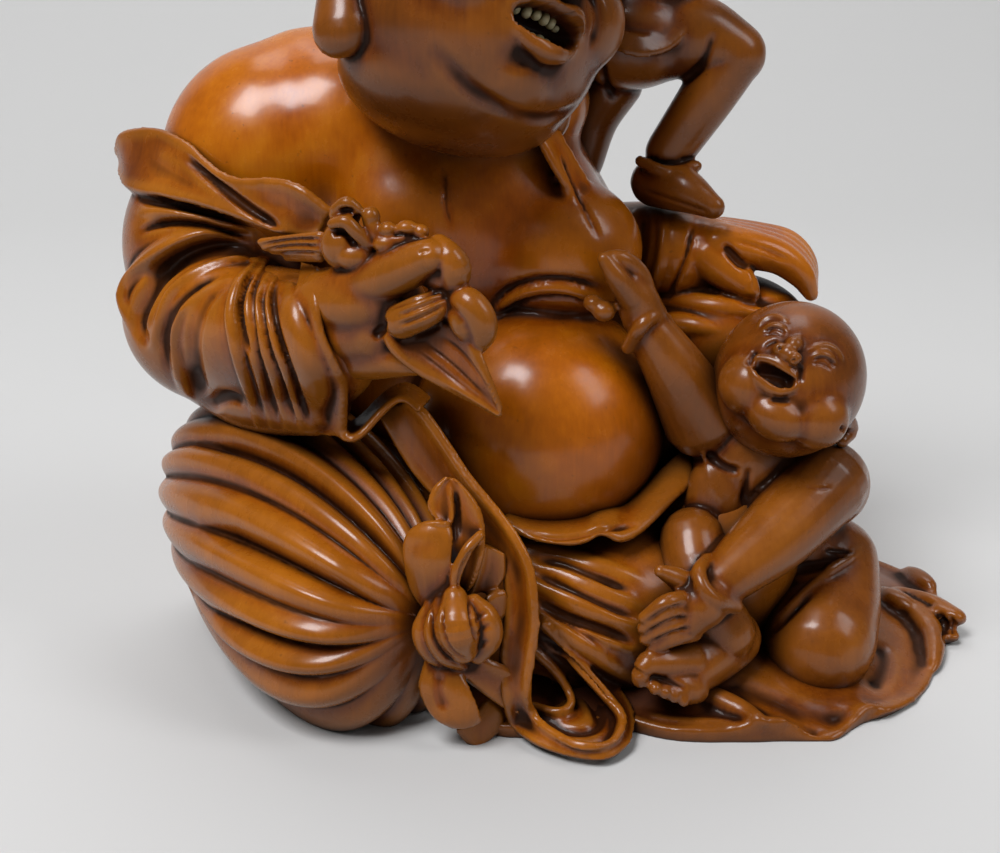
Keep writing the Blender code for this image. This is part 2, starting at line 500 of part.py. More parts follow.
def lap():
    """The robe over the lap: hem under the belly, pleats down to the cloth, a looped border."""
    clay = Clay()
    clay.ball(LAP_AT, LAP_HALF)
    clay.ball((22, -30, 18), (30, 25, 21))
    clay.ball((52, -20, 26), (20, 20, 24))
    clay.ball(at(686, 536, -31), (7, 7, 8))
    clay.ball(at(704, 508, -22), (8, 9, 9))
    clay.settle(1.0, 14)
    for line, width, rise in [
        ([(508, 544), (530, 547), (556, 552), (590, 563), (640, 578)], 3.6, 0.42),
        ([(516, 558), (540, 565), (566, 574), (600, 590), (642, 608)], 3.0, 0.5),
        ([(524, 578), (545, 588), (575, 600), (604, 613), (642, 628)], 3.0, 0.55),
        ([(556, 622), (584, 632), (612, 642), (640, 652)], 2.0, 0.5),
        ([(530, 606), (548, 618), (572, 636), (600, 658), (634, 682)], 3.2, 0.5),
    ]:
        clay.fold(line, width, rise)
    clay.settle(0.7, 2)
    clay.ribbon(
        [at(503, 521, -42), at(520, 531, -45), at(540, 538, -47), at(571, 542, -48), at(588, 538, -47),
         at(597, 532, -46), at(607, 533, -46), at(619, 539, -46), at(633, 535, -44), at(650, 522, -40),
         at(672, 500, -34), at(694, 480, -28)],
        [at(508, 508, -33), at(525, 516, -35), at(545, 521, -37), at(570, 522, -38), at(588, 518, -37),
         at(600, 513, -36), at(612, 511, -35), at(624, 508, -33), at(636, 498, -30), at(650, 484, -27),
         at(668, 466, -23), at(690, 448, -18)],
        2.2, 0.6)
    BORDER_RIM = [at(408, 400, -38), at(424, 413, -41), at(448, 447, -45), at(468, 477, -49), at(500, 516, -54),
                  at(519, 544, -57), at(530, 570, -59), at(534, 600, -61), at(535, 628, -62), at(531, 658, -63),
                  at(527, 691, -64), low(533, 713, 7), low(549, 730, 5.4), low(575, 744, 5), low(597, 746, 5),
                  low(613, 740, 5), low(621, 727, 6), low(620, 713, 7), low(604, 693, 10), low(579, 665, 15),
                  low(558, 640, 20), at(541, 622, -54)]
    BORDER_FOOT = [at(380, 408, -32), at(392, 432, -35), at(414, 468, -39), at(440, 498, -44), at(472, 528, -50),
                   at(494, 552, -54), at(506, 574, -56), at(508, 602, -58), at(507, 628, -59), at(503, 662, -61),
                   at(506, 698, -63), low(514, 724, 3), low(538, 742, 2.4), low(572, 753, 2.4), low(604, 756, 2.4),
                   low(624, 744, 2.6), low(630, 726, 3), low(628, 708, 4), low(612, 686, 7), low(586, 658, 12),
                   low(563, 633, 18), at(546, 616, -51)]
    clay.ribbon(BORDER_RIM, BORDER_FOOT, 2.6, 1.1)
    clay.ball(low(574, 716, 2.2), (13, 12, 2.6))
    clay.ball(low(590, 732, 1.8), (8, 7, 2.2))
    LAP_LINES = [
        ([(526, 560), (560, 563), (596, 577), (630, 592)], 1.4, -0.9),
        ([(534, 574), (570, 589), (606, 606), (638, 618)], 1.5, -1.9),
        ([(536, 602), (570, 619), (606, 632), (634, 644)], 1.6, -2.4),
        ([(545, 610), (580, 632), (604, 648)], 1.0, -0.9),
        ([(538, 630), (570, 661), (594, 681), (620, 704)], 1.3, -1.6),
        ([(538, 676), (548, 688), (554, 698), (546, 702)], 4.6, -4.8),
        ([(536, 654), (555, 670), (567, 687), (570, 703), (558, 711), (537, 706)], 1.0, 1.5),
        ([(545, 650), (570, 668), (590, 692), (604, 718), (590, 732), (560, 728), (540, 718)], 1.8, -1.4),
        ([(520, 530), (560, 538), (604, 530), (640, 524)], 1.2, -0.9),
    ]
    clay.settle(SKIN_GRID, 2)
    clay.carve(LAP_LINES)
    return clay


def base_cloth():
    """The cloth spread under everything, its edge rising and falling in slack waves."""
    clay = Clay()
    front = [(*low(u, v, 0)[:2], lip) for u, v, lip in CLOTH_FRONT]
    edge = smooth_path([*front, *CLOTH_BACK, front[0]], 1.2)[:-1]
    centre = Vector((*np.mean(edge, axis=0)[:2], 0))
    rings = []
    for share, ground, lip_share in [(0.985, -2, 0), (1, 0.2, 0), (1.004, 0.3, 0.75), (1, 0, 1), (0.985, 0.2, 1),
                                     (0.96, 0.6, 0.75), (0.92, CLOTH_SLAB, 0.4), (0.85, 4.6, 0.1), (0.7, 8, 0), (0.5, 11, 0),
                                     (0.3, 12, 0)]:
        rings.append([centre + (Vector((p[0], p[1], 0)) - centre) * share + Vector((0, 0, ground + lip_share * p[2]))
                      for p in edge])
    clay.loft(rings)
    clay.limb([at(900, 600, -4), at(930, 606, -10), at(954, 616, -16)], [5, 4.4, 3.2], 0.7)
    clay.limb([at(905, 640, -10), at(930, 636, -16), at(950, 636, -19)], [5, 4.0, 2.4], 0.7)
    for line, width, rise in [
        ([(872, 556), (908, 572), (940, 594), (958, 610)], 2.6, 0.5),
        ([(880, 590), (912, 612), (932, 636), (934, 668)], 3.4, 0.4),
        ([(690, 695), (726, 708), (760, 718), (776, 719)], 2.6, 0.5),
    ]:
        clay.fold(line, width, rise)
    CLOTH_LINES = [
        ([(700, 690), (740, 694), (790, 706), (840, 712), (868, 706)], 2.6, -2.0),
        ([(780, 720), (800, 728), (826, 734)], 2.4, -1.4),
        ([(872, 640), (884, 652), (882, 672), (868, 690)], 3.6, -3.0),
        ([(886, 604), (908, 624), (918, 652), (906, 684)], 2.6, -1.2),
        ([(884, 580), (912, 592), (936, 606)], 2.0, -1.4),
        ([(938, 612), (945, 626), (944, 642)], 1.4, -1.6),
        ([(950, 614), (954, 626), (952, 636)], 1.0, -1.0),
        ([(864, 722), (882, 712), (900, 706), (926, 690)], 1.0, 0.8),
        ([(640, 712), (668, 720), (706, 722), (740, 724)], 2.0, 0.8),
    ]
    clay.settle(SKIN_GRID, 2)
    clay.carve(CLOTH_LINES)
    return clay


def fold_height(angle, away):
    """How far the cloth stands out at this angle round the knot, this far from it."""
    angle = (angle - 44) % 360 + 44
    for (a, low_a, reach_a), (b, low_b, reach_b) in zip(SACK_FOLDS, SACK_FOLDS[1:]):
        if angle <= b:
            break
    tall = [h * (1 if h > 0 else min(1, max(0.2, (reach + 6 - away) / 14)))
            for h, reach in ((low_a, reach_a), (low_b, reach_b))]
    share = (angle - a) / (b - a)
    if tall[0] > tall[1]:
        share, tall = 1 - share, tall[::-1]
    return (tall[0] + (tall[1] - tall[0]) * math.sin(share * math.pi / 2)) * min(1, away / 24)


def sack():
    """The sack: wide folds run from the knot round its swelling body."""
    clay = Clay()
    mouth, end, knot_at = Vector(SACK_MOUTH), Vector(SACK_END), Vector(KNOT_AT)
    along = (end - mouth).normalized()
    side = along.cross(Vector((0, 0, 1))).normalized()
    up = side.cross(along)
    from_knot = (end - knot_at).normalized()
    knot_side = from_knot.cross(Vector((0, 0, 1))).normalized()
    knot_up = knot_side.cross(from_knot)
    rings = []
    for k in range(1, 70):
        angle = math.pi * k / 70
        swell = math.sin(angle) ** 0.55
        middle = mouth.lerp(end, (1 - math.cos(angle)) / 2)
        ring = []
        for i in range(240):
            turn = math.tau * i / 240
            size = swell * (1 - math.cos(angle) * (0.25 * math.sin(turn) + 0.15 * math.cos(turn)))
            spot = (middle + side * SACK_HALF_WIDE * size * math.cos(turn)
                    + up * SACK_HALF_HIGH * size * math.sin(turn))
            off = spot - knot_at
            away = off.length
            across = off - from_knot * off.dot(from_knot)
            round_knot = math.degrees(math.atan2(off.dot(knot_up), off.dot(knot_side)))
            round_knot -= 0.006 * max(0, away - 25) ** 2 * (math.sin(math.radians(round_knot)) > -0.3)
            ring.append(spot + across.normalized() * fold_height(round_knot, away))
        rings.append(ring)
    clay.loft(rings)
    return clay


def knot():
    """The knot with its wrapped bands, two bow leaves and three loose ends."""
    clay = Clay()
    clay.ball(at(457, 630, -60), (9.2, 6.8, 8.2))
    clay.limb([at(431, 606, -64), at(424, 630, -65), at(432, 650, -65), at(448, 663, -63)], [1.6, 2.6, 2.6, 1.6])
    clay.limb([at(441, 602, -65), at(436, 630, -68), at(446, 652, -67), at(462, 664, -64)], [1.6, 2.6, 2.6, 1.6])
    clay.limb([at(455, 598, -66), at(457, 626, -69), at(463, 648, -68)], [2.6, 4.6, 3.2])
    clay.limb([at(474, 602, -65), at(487, 618, -66), at(489, 638, -66), at(478, 656, -65)], [1.8, 2.6, 2.8, 1.8])
    clay.ribbon([at(424, 606, -61), at(413, 588, -61), at(407, 564, -61), at(406, 545, -60), at(411, 532, -60),
                 at(421, 524, -59)],
                [at(446, 602, -63), at(447, 580, -64), at(448, 560, -64), at(449, 545, -63), at(449, 534, -62),
                 at(447, 526, -61)], 1.8, -1.0)
    clay.ribbon([at(448, 600, -62), at(450, 560, -62), at(450, 532, -61), at(436, 518, -60), at(431, 506, -59),
                 at(436, 489, -58), at(448, 477, -57)],
                [at(466, 592, -62), at(475, 574, -62), at(481, 555, -62), at(482, 532, -60), at(478, 511, -59),
                 at(467, 493, -58), at(453, 478, -57)], 1.8, 1.2)
    clay.limb([at(480, 535, -62), at(467, 550, -64), at(457, 572, -65), at(453, 594, -65)], [1.0, 1.2, 1.2, 0.9])
    clay.ribbon([at(470, 593, -59), at(478, 568, -59), at(484, 544, -58)],
                [at(488, 593, -58), at(502, 575, -57), at(502, 552, -57)], 2.0, 0.8)
    clay.ribbon([at(486, 600, -60), at(496, 594, -59), at(505, 592, -58)],
                [at(490, 620, -60), at(500, 616, -59), at(506, 610, -58)], 2.0)
    clay.ribbon([at(428, 660, -62), at(422, 684, -64), at(428, 704, -65), at(438, 718, -66), at(453, 726, -66)],
                [at(456, 666, -64), at(464, 684, -66), at(471, 700, -67), at(476, 714, -67), at(478, 722, -66)], 1.9, 0.7)
    clay.ribbon([at(474, 658, -63), at(492, 664, -63), at(508, 671, -62), at(522, 681, -61)],
                [at(462, 672, -64), at(484, 690, -63), at(502, 703, -62), at(518, 711, -61)], 2.2, 0.4)
    clay.ribbon([at(458, 728, -63), at(468, 740, -63), at(478, 748, -63)],
                [at(486, 700, -59), at(500, 712, -59), at(502, 728, -59)], 2.0)
    KNOT_LINES = [
        ([(449, 483), (452, 507), (451, 524), (443, 526), (430, 521), (418, 525)], 0.8, 0.9),
        ([(454, 490), (457, 515), (456, 545)], 1.2, -0.7),
        ([(474, 548), (462, 568), (459, 590)], 0.8, -0.8),
        ([(432, 606), (432, 634), (443, 655), (460, 665)], 0.7, -1.0),
        ([(443, 604), (443, 632), (453, 652), (468, 661)], 0.7, -1.0),
        ([(469, 600), (472, 622), (477, 643)], 0.9, -1.1),
        ([(483, 610), (476, 622)], 0.6, -0.6),
        ([(491, 620), (479, 629)], 0.6, -0.6),
        ([(494, 634), (480, 636)], 0.6, -0.6),
        ([(440, 672), (438, 692), (446, 712)], 2.0, -0.6),
    ]
    clay.settle(SKIN_GRID, 1)
    clay.carve(KNOT_LINES)
    return clay


def kneeling_child():
    """The child that kneels in front and reaches up to the chest."""
    clay = Clay()
    clay.ball((63, -21, 42), (15, 13, 20), (0, 14, 0))
    clay.ball((58, -22, 30), (14, 13, 16))
    clay.ball((56, -24, 50), (12, 10, 14))
    clay.ball(at(824, 484, -25), (10.5, 10, 10.5))
    clay.ball((70, -17, 27), (14, 14, 15))
    clay.limb([at(836, 570, -16), at(828, 602, -27), at(819, 636, -38)], [9.6, 12, 13.2])
    clay.settle(0.8, 10)
    clay.limb([at(824, 482, -29), at(776, 534, -40), at(722, 578, -49)], [10.0, 8.4, 5.2])
    clay.limb([at(697, 564, -47), at(702, 582, -53), at(719, 600, -54), at(738, 606, -49)], 1.6)
    clay.ball(at(690, 602, -52), (7, 5, 6.6))
    clay.limb([at(690, 585, -52), at(672, 575, -54), at(660, 571, -55)], [3, 2.2, 1.4])
    for k, (root, knuckle, tip) in enumerate([((686, 600), (663, 605), (641, 622)), ((690, 612), (665, 620), (639, 636)),
                                              ((696, 624), (670, 634), (648, 650))]):
        clay.limb([at(*root, -56), at(*knuckle, -59), at(*tip, -59)], [2.3, 2.2, 1.5])
    clay.ball(at(688, 542, -41), (8, 8, 11))
    clay.limb([at(690, 560, -43), at(708, 600, -46), at(722, 630, -47)], [8, 6.6, 6])
    clay.limb([at(728, 640, -45), at(700, 656, -51), at(670, 672, -57)], [6.6, 6.2, 5])
    clay.ball(at(676, 684, -58), (7, 5, 3.4), (0, 24, 0))
    clay.ball(at(640, 673, -61), (2.3, 2.3, 2.2))
    clay.ball(at(646, 661, -60), (1.9, 2, 1.8))
    for k in range(4):
        clay.ball(at(655 + k * 9.6, 690 + k * 3.8, -62.6 + k * 0.3), (1.35 - k * 0.05, 1.6, 1.3))
        clay.ball(at(657 + k * 9.6, 681 + k * 3.8, -61.6 + k * 0.3), (1.3 - k * 0.05, 1.6, 1.2))
    clay.limb([at(652, 334, -29), at(675, 370, -28), at(702, 418, -24)], [5.4, 7, 9.2])
    clay.limb([at(666, 320, -27), at(655, 316, -32), at(640, 328, -34), at(628, 347, -31)], 1.6)
    clay.limb([at(645, 318, -29), at(636, 298, -30), at(628, 284, -31)], [5, 4.6, 3.6])
    clay.limb([at(632, 298, -32), at(617, 278, -34), at(604, 259, -34)], [3, 2.4, 1.6])
    clay.limb([at(645, 300, -28), at(638, 275, -30), at(623, 260, -32), at(609, 257, -33)], [3, 2.5, 2.1, 1.5])
    clay.ball(at(593, 303, -31), (2.2, 2.4, 1.9))
    clay.ball(at(604, 311, -32), (2.6, 2.6, 2.3))
    for line, width, rise in [
        ([(861, 545), (832, 571), (778, 582)], 1.3, 0.6),
        ([(861, 551), (825, 573), (776, 618), (744, 636)], 1.3, 0.6),
        ([(700, 448), (704, 480), (720, 520)], 1.3, 0.6),
    ]:
        clay.fold(line, width, rise)
    CHILD_LINES = [
        ([(824, 550), (853, 552)], 0.8, -0.5),
        ([(800, 566), (830, 560), (850, 556)], 0.8, -0.5),
        ([(760, 640), (780, 625), (815, 590)], 1.4, -0.8),
        ([(706, 452), (722, 466), (742, 472)], 1.4, -1.0),
        ([(752, 468), (746, 488), (742, 510)], 1.2, -1.0),
        ([(716, 500), (730, 508), (742, 512)], 0.7, -0.4),
        ([(805, 486), (820, 489), (832, 487)], 0.5, -0.25),
    ]
    clay.settle(SKIN_GRID, 1)
    clay.carve(CHILD_LINES)
    return clay


def kneeling_childs_head():
    """The kneeling child's head, thrown back and laughing."""
    child_frame = head_frame(CHILD_HEAD_AT, CHILD_TURN, CHILD_LEAN, CHILD_NOD)
    clay = Clay(child_frame)
    clay.ball((0, 1, 2), CHILD_HEAD_HALF)
    for side in (-1, 1):
        clay.ball((side * 7.5, -8, -5.5), (7.4, 7, 7))
    clay.ball((0, -10, -10), (6.8, 5.4, 5))
    clay.settle(0.7, 12)
    clay.frame = Matrix.Identity(4)
    for line, width, rise in [
        ([(799, 337), (794, 345), (788, 353)], 1.9, 0.9),
        ([(758, 328), (764, 319), (776, 316), (789, 322)], 0.9, 0.9),
        ([(809, 350), (822, 345), (836, 350), (843, 361)], 0.9, 0.9),
        ([(763, 330), (775, 325), (787, 332)], 1.5, 0.6),
        ([(812, 357), (824, 354), (836, 363)], 1.5, 0.6),
        ([(750, 358), (764, 358), (780, 364), (797, 380)], 1.2, 0.8),
        ([(750, 368), (766, 386), (782, 392), (797, 386)], 1.5, 0.8),
    ]:
        clay.fold(line, width, rise)
    nose_tip = [(780, 350), (787, 354), (794, 358)]
    for (u, v), size in zip(nose_tip, (1.5, 2.1, 1.5)):
        hit, normal, _, _ = BVHTree.FromBMesh(clay.bm).ray_cast(EYE, sight(u, v))
        clay.ball(hit + normal * size * 0.2, (size, size, size))
    clay.limb([at(838, 424, -33), at(847, 421, -30), at(850, 431, -28), at(842, 441, -31)], [1.6, 1.9, 1.8, 1.5])
    FACE_LINES = [
        ([(764, 332), (776, 327), (786, 333)], 0.7, -0.6),
        ([(763, 336), (774, 333), (785, 337)], 0.5, -0.3),
        ([(813, 360), (825, 357), (836, 366)], 0.7, -0.6),
        ([(812, 364), (822, 363), (832, 370)], 0.5, -0.3),
        ([(753, 365), (768, 371), (783, 379), (795, 385)], 1.5, -2.6),
        ([(757, 370), (770, 379), (786, 386)], 1.2, -1.4),
        ([(756, 350), (751, 357), (748, 366)], 1.0, -0.7),
        ([(800, 362), (802, 372), (800, 384)], 1.0, -0.7),
        ([(778, 347), (781, 349)], 0.7, -0.8),
        ([(792, 359), (795, 361)], 0.7, -0.8),
        ([(770, 398), (780, 402), (790, 398)], 1.4, -0.4),
        ([(840, 428), (845, 428), (845, 434)], 0.9, -1.0),
        ([(764, 348), (770, 342), (778, 341)], 0.8, -0.4),
    ]
    clay.settle(SKIN_GRID, 1)
    clay.carve(FACE_LINES)
    return clay


def climbing_child():
    """The child that climbs the left arm and leans on the big head."""
    clay = Clay()
    clay.ball((36, 12, 166), (14.5, 13, 18))
    clay.ball((33, 10, 154), (14.5, 13.5, 12))
    clay.ball(at(632, 36, 6), (15, 13.5, 12))
    clay.limb([at(645, 36, 6), at(695, 36, 4), at(734, 54, 2)], [11, 9.4, 7.4])
    clay.settle(0.9, 14)
    clay.limb([at(733, 54, 2), at(706, 98, 2), at(669, 152, 4)], [7.2, 6.4, 5.6])
    clay.limb([at(640, 161, 0), at(668, 172, -3), at(697, 166, 0)], [1.3, 1.5, 1.3])
    clay.limb([at(655, 182, 4), at(683, 190, -3), at(713, 207, -8)], [5.8, 5.2, 2.8])
    clay.limb([at(612, 80, 12), at(592, 118, 14), at(580, 162, 15)], [7.6, 6.4, 5.6])
    clay.ribbon([at(603, 40, -8), at(635, 54, -10), at(668, 48, -7), at(694, 22, -3)],
                   [at(606, 26, -6), at(635, 36, -8), at(664, 32, -5), at(688, 8, -2)], 1.8)
    clay.limb([(28, 6, 176), (16, 4, 182), (4, 0, 187)], [6.6, 5.4, 4.4])
    clay.limb([(46, 8, 174), (47, -6, 170), (36, -16, 170)], [6.4, 5.4, 4.4])
    clay.ball((0, -2, 188), (6, 5, 4))
    clay.ball((31, -18, 170), (5, 4.4, 4.4))
    CLIMBER_LINES = [
        ([(715, 30), (704, 60), (676, 92)], 1.6, -0.8),
        ([(640, 188), (672, 200), (712, 214)], 0.8, -0.5),
        ([(640, 152), (668, 164), (696, 156)], 1.0, -0.7),
        ([(600, 58), (606, 84), (616, 100)], 1.6, -1.0),
    ]
    clay.settle(SKIN_GRID, 1)
    clay.carve(CLIMBER_LINES)
    return clay


def climbing_childs_head():
    """The climbing child's head, plain and round."""
    climber_frame = head_frame(CLIMBER_HEAD_AT, -20, -8, 0)
    clay = Clay(climber_frame)
    clay.ball((0, 0, 1), CLIMBER_HEAD_HALF)
    for side in (-1, 1):
        clay.ball((side * 7, -8, -5), (6.6, 6.2, 6.2))
    clay.settle(0.8, 10)
    for side in (-1, 1):
        clay.limb([(side * 13.6, 0, 4), (side * 15.2, 1.5, 1), (side * 13.6, 0, -4)], [1.8, 2, 1.8])
        clay.ball((side * 6, -12.6, 3.4), (3, 1.6, 1.5))
        clay.limb([(side * 2.4, -14.4, 6.6), (side * 6.4, -13.6, 8), (side * 10, -11, 6.6)], [0.7, 0.9, 0.6])
    clay.limb([(0, -13.6, 3), (0, -15.4, 0)], [1.4, 2.2])
    clay.limb([(-4.4, -13, -5.6), (0, -14.8, -6.4), (4.4, -13, -5.6)], [0.8, 1.2, 0.8])
    clay.limb([(-4, -12.8, -6.6), (0, -14.2, -8.6), (4, -12.8, -6.6)], [0.8, 1.4, 0.8])
    return clay


def cut(obj, cutter, operation="DIFFERENCE"):
    """Cut a closed tool out of an object."""
    boolean = obj.modifiers.new("cut", "BOOLEAN")
    boolean.operation = operation
    boolean.solver = "EXACT"
    boolean.object = cutter
    graph = bpy.context.evaluated_depsgraph_get()
    mesh = bpy.data.meshes.new_from_object(obj.evaluated_get(graph))
    obj.modifiers.clear()
    obj.data = mesh
    bpy.data.objects.remove(cutter)


def box(name, low, high, frame=None, round_by=0):
    """A box object between two corners of a frame, its edges rounded."""
    bm = bmesh.new()
    size = [b - a for a, b in zip(low, high)]
    middle = [(a + b) / 2 for a, b in zip(low, high)]
    place = (frame or Matrix.Identity(4)) @ Matrix.Translation(middle) @ Matrix.Diagonal((*size, 1))
    bmesh.ops.create_cube(bm, size=1, matrix=place)
    if round_by:
        bmesh.ops.bevel(bm, geom=bm.edges, offset=round_by, segments=3, profile=0.5, affect="EDGES")
    mesh = bpy.data.meshes.new(name)
    bm.to_mesh(mesh)
    obj = bpy.data.objects.new(name, mesh)
    bpy.context.scene.collection.objects.link(obj)
    return obj


def largest_shell(mesh):
    """Keep only the outer shell of a mesh, so that no closed hollow is left inside."""
    bm = bmesh.new()
    bm.from_mesh(mesh)
    bm.verts.ensure_lookup_table()
    seen = set()
    shells = []
    for start in bm.verts:
        if start in seen:
            continue
        shell = [start]
        seen.add(start)
        for vert in shell:
            for edge in vert.link_edges:
                other = edge.other_vert(vert)
                if other not in seen:
                    seen.add(other)
                    shell.append(other)
        shells.append(shell)
    shells.sort(key=len)
    for shell in shells[:-1]:
        bmesh.ops.delete(bm, geom=shell, context="VERTS")
    bm.to_mesh(mesh)


def material(name, color, rough):
    """A plain finish of this colour."""
    mat = bpy.data.materials.new(name)
    mat.use_nodes = True
    shader = mat.node_tree.nodes["Principled BSDF"]
    shader.inputs["Base Color"].default_value = (*color, 1)
    shader.inputs["Roughness"].default_value = rough
    shader.inputs["Metallic"].default_value = 0
    mat.diffuse_color = (*color, 1)
    return mat


def teeth(name, up, bone):
    """One strip of teeth on an arc in the mouth; up is 1 for the upper jaw and -1 for the lower."""
    frame = head_frame(HEAD_AT, HEAD_TURN, HEAD_LEAN, HEAD_NOD)
    middle = MOUTH_DOWN - 1.2 + up * 2.4
    bm = bmesh.new()
    rows = []
    half = TEETH / 2
    for i in range(TEETH * 4 + 1):
        x = (i / 4 - half) * TOOTH_WIDE
        front = -25 + 0.05 * x * x
        tip = middle - up * TOOTH_TALL / 2 * (1 if i % 4 else 0.6)
        root = middle + up * TOOTH_TALL / 2
        bulge = 0.25 if i % 4 else 0
        rows.append([(x, front - bulge, tip), (x, front - bulge, root), (x, front + TOOTH_DEEP, root),
                     (x, front + TOOTH_DEEP, tip)])
    loops = [[bm.verts.new(frame @ Vector(p)) for p in row] for row in rows]
    for low, high in zip(loops, loops[1:]):
        for i in range(4):
            j = (i + 1) % 4
            bm.faces.new((low[i], low[j], high[j], high[i]))
    bm.faces.new(loops[0][::-1])
    bm.faces.new(loops[-1])
    bmesh.ops.triangulate(bm, faces=bm.faces)
    bmesh.ops.recalc_face_normals(bm, faces=bm.faces)
    bmesh.ops.scale(bm, vec=(MM, MM, MM), verts=bm.verts)
    mesh = bpy.data.meshes.new(name)
    bm.to_mesh(mesh)
    mesh.materials.append(bone)
    obj = bpy.data.objects.new(name, mesh)
    bpy.context.scene.collection.objects.link(obj)
    return obj


def carving(wood):
    """Everything cut from the one block."""
    clay = Clay()
    for mass in (trunk, head, right_sleeve, right_hand, left_arm, lap, base_cloth, sack, knot,
                 kneeling_child, kneeling_childs_head, climbing_child, climbing_childs_head):
        clay.add(mass())
    skin = clay.skin(SKIN_GRID, 2)
    largest_shell(skin)
    obj = bpy.data.objects.new("carving", skin)
    bpy.context.scene.collection.objects.link(obj)
    thin = obj.modifiers.new("thin", "DECIMATE")
    thin.ratio = SKIN_TRIANGLES / (2 * len(skin.polygons))
    thin.use_collapse_triangulate = True
    graph = bpy.context.evaluated_depsgraph_get()
    mesh = bpy.data.meshes.new_from_object(obj.evaluated_get(graph))
    obj.modifiers.clear()
    obj.data = mesh
    frame = head_frame(HEAD_AT, HEAD_TURN, HEAD_LEAN, HEAD_NOD)
    pocket = box("pocket", (-MOUTH_HALF, -40, MOUTH_DOWN - 5.2), (MOUTH_HALF, -19, MOUTH_DOWN + 2.8), frame, 1.2)
    cut(obj, pocket)
    cut(obj, box("below", (-200, -200, -60), (200, 200, 0)))
    obj.data.transform(Matrix.Diagonal((MM, MM, MM, 1)))
    obj.data.materials.clear()
    obj.data.materials.append(wood)
    return obj


def build():
    for old in list(bpy.data.objects):
        bpy.data.objects.remove(old)
    wood = material("polished_boxwood", (0.30, 0.11, 0.022), 0.28)
    bone = material("aged_bone", (0.48, 0.42, 0.25), 0.45)
    carving(wood)
    teeth("upper_teeth", 1, bone)
    teeth("lower_teeth", -1, bone)


build()
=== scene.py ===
"""A seated laughing figure, a tied sack and two children, carved from one block of boxwood."""

import json
import math

import bmesh
import bpy
import numpy as np
from mathutils import Euler, Matrix, Vector
from mathutils.bvhtree import BVHTree

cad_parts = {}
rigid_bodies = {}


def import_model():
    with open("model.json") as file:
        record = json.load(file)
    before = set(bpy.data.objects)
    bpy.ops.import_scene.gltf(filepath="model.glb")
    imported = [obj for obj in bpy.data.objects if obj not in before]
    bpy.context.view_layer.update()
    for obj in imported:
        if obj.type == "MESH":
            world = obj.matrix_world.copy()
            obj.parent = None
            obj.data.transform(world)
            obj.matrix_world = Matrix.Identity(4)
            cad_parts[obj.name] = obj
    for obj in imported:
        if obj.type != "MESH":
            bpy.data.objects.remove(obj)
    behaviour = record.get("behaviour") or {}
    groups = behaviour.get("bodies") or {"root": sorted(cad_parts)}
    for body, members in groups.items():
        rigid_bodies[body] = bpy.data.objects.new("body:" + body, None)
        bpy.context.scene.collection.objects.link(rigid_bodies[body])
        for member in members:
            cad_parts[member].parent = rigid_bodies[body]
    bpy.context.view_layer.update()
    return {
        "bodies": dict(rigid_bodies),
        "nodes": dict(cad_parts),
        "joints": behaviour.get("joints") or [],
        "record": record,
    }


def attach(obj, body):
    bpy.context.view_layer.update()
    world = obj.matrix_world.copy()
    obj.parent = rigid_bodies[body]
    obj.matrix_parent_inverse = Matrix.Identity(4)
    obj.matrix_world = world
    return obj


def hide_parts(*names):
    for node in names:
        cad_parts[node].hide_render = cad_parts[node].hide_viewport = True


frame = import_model()
MM = 0.001

# The view: a phone held a third of a metre in front of the carving and a little above it.  Folds
# are drawn below in this picture's pixels, and laid on the wood where the eye sees them.
EYE = Vector((0, -320.7, 166.4))
EYE_TILT = math.radians(20)
LENS, SENSOR = 50, 36
PICTURE_WIDE, PICTURE_HIGH = 1000, 853
PIXELS = PICTURE_WIDE * LENS / SENSOR

camera = bpy.data.objects.new("camera", bpy.data.cameras.new("camera"))
bpy.context.scene.collection.objects.link(camera)
camera.data.lens = LENS
camera.data.sensor_width = SENSOR
camera.data.clip_start = 0.01
camera.location = EYE * MM
camera.rotation_euler = (math.pi / 2 - EYE_TILT, 0, 0)
bpy.context.scene.camera = camera
bpy.context.scene.view_settings.view_transform = "Standard"


def sight(u, v):
    """The direction in which the eye sees a pixel."""
    right = (u - PICTURE_WIDE / 2) / PIXELS
    rise = (PICTURE_HIGH / 2 - v) / PIXELS
    ahead = Vector((0, math.cos(EYE_TILT), -math.sin(EYE_TILT)))
    up = Vector((0, math.sin(EYE_TILT), math.cos(EYE_TILT)))
    return (ahead + Vector((right, 0, 0)) + up * rise).normalized()


# Boxwood: a pale, very dense wood, here stained, waxed and rubbed for years to a warm orange brown.
# The grain is almost too fine to see, the crests are worn light and glossy, and old wax and dust
# lie dark and matt in every hollow.  Painted shade darkens it further where other wood hides it,
# and on every face that turns downwards.
GRAIN_WIDE = 0.0009
GRAIN_LONG = 0.022
GRAIN_LEAN = (0.06, 0.10, 0)
CLOUD_WIDE = 0.035
SPECK_WIDE = 0.0016
SHADE_REACH = 0.011
SHELTER_REACH = 0.05
SHADE_RAYS = 8


def linear(code):
    """The linear colour of an sRGB hex code."""
    parts = [int(code[i:i + 2], 16) / 255 for i in (1, 3, 5)]
    return (*[p / 12.92 if p <= 0.04045 else ((p + 0.055) / 1.055) ** 2.4 for p in parts], 1)


def node(tree, kind, links=None, **settings):
    """Adds a node with its settings; links gives an input's value, or the socket that feeds it."""
    made = tree.nodes.new("ShaderNode" + kind)
    for key, value in settings.items():
        setattr(made, key, value)
    for key, value in (links or {}).items():
        if isinstance(value, bpy.types.NodeSocket):
            tree.links.new(value, made.inputs[key])
        else:
            made.inputs[key].default_value = value
    return made


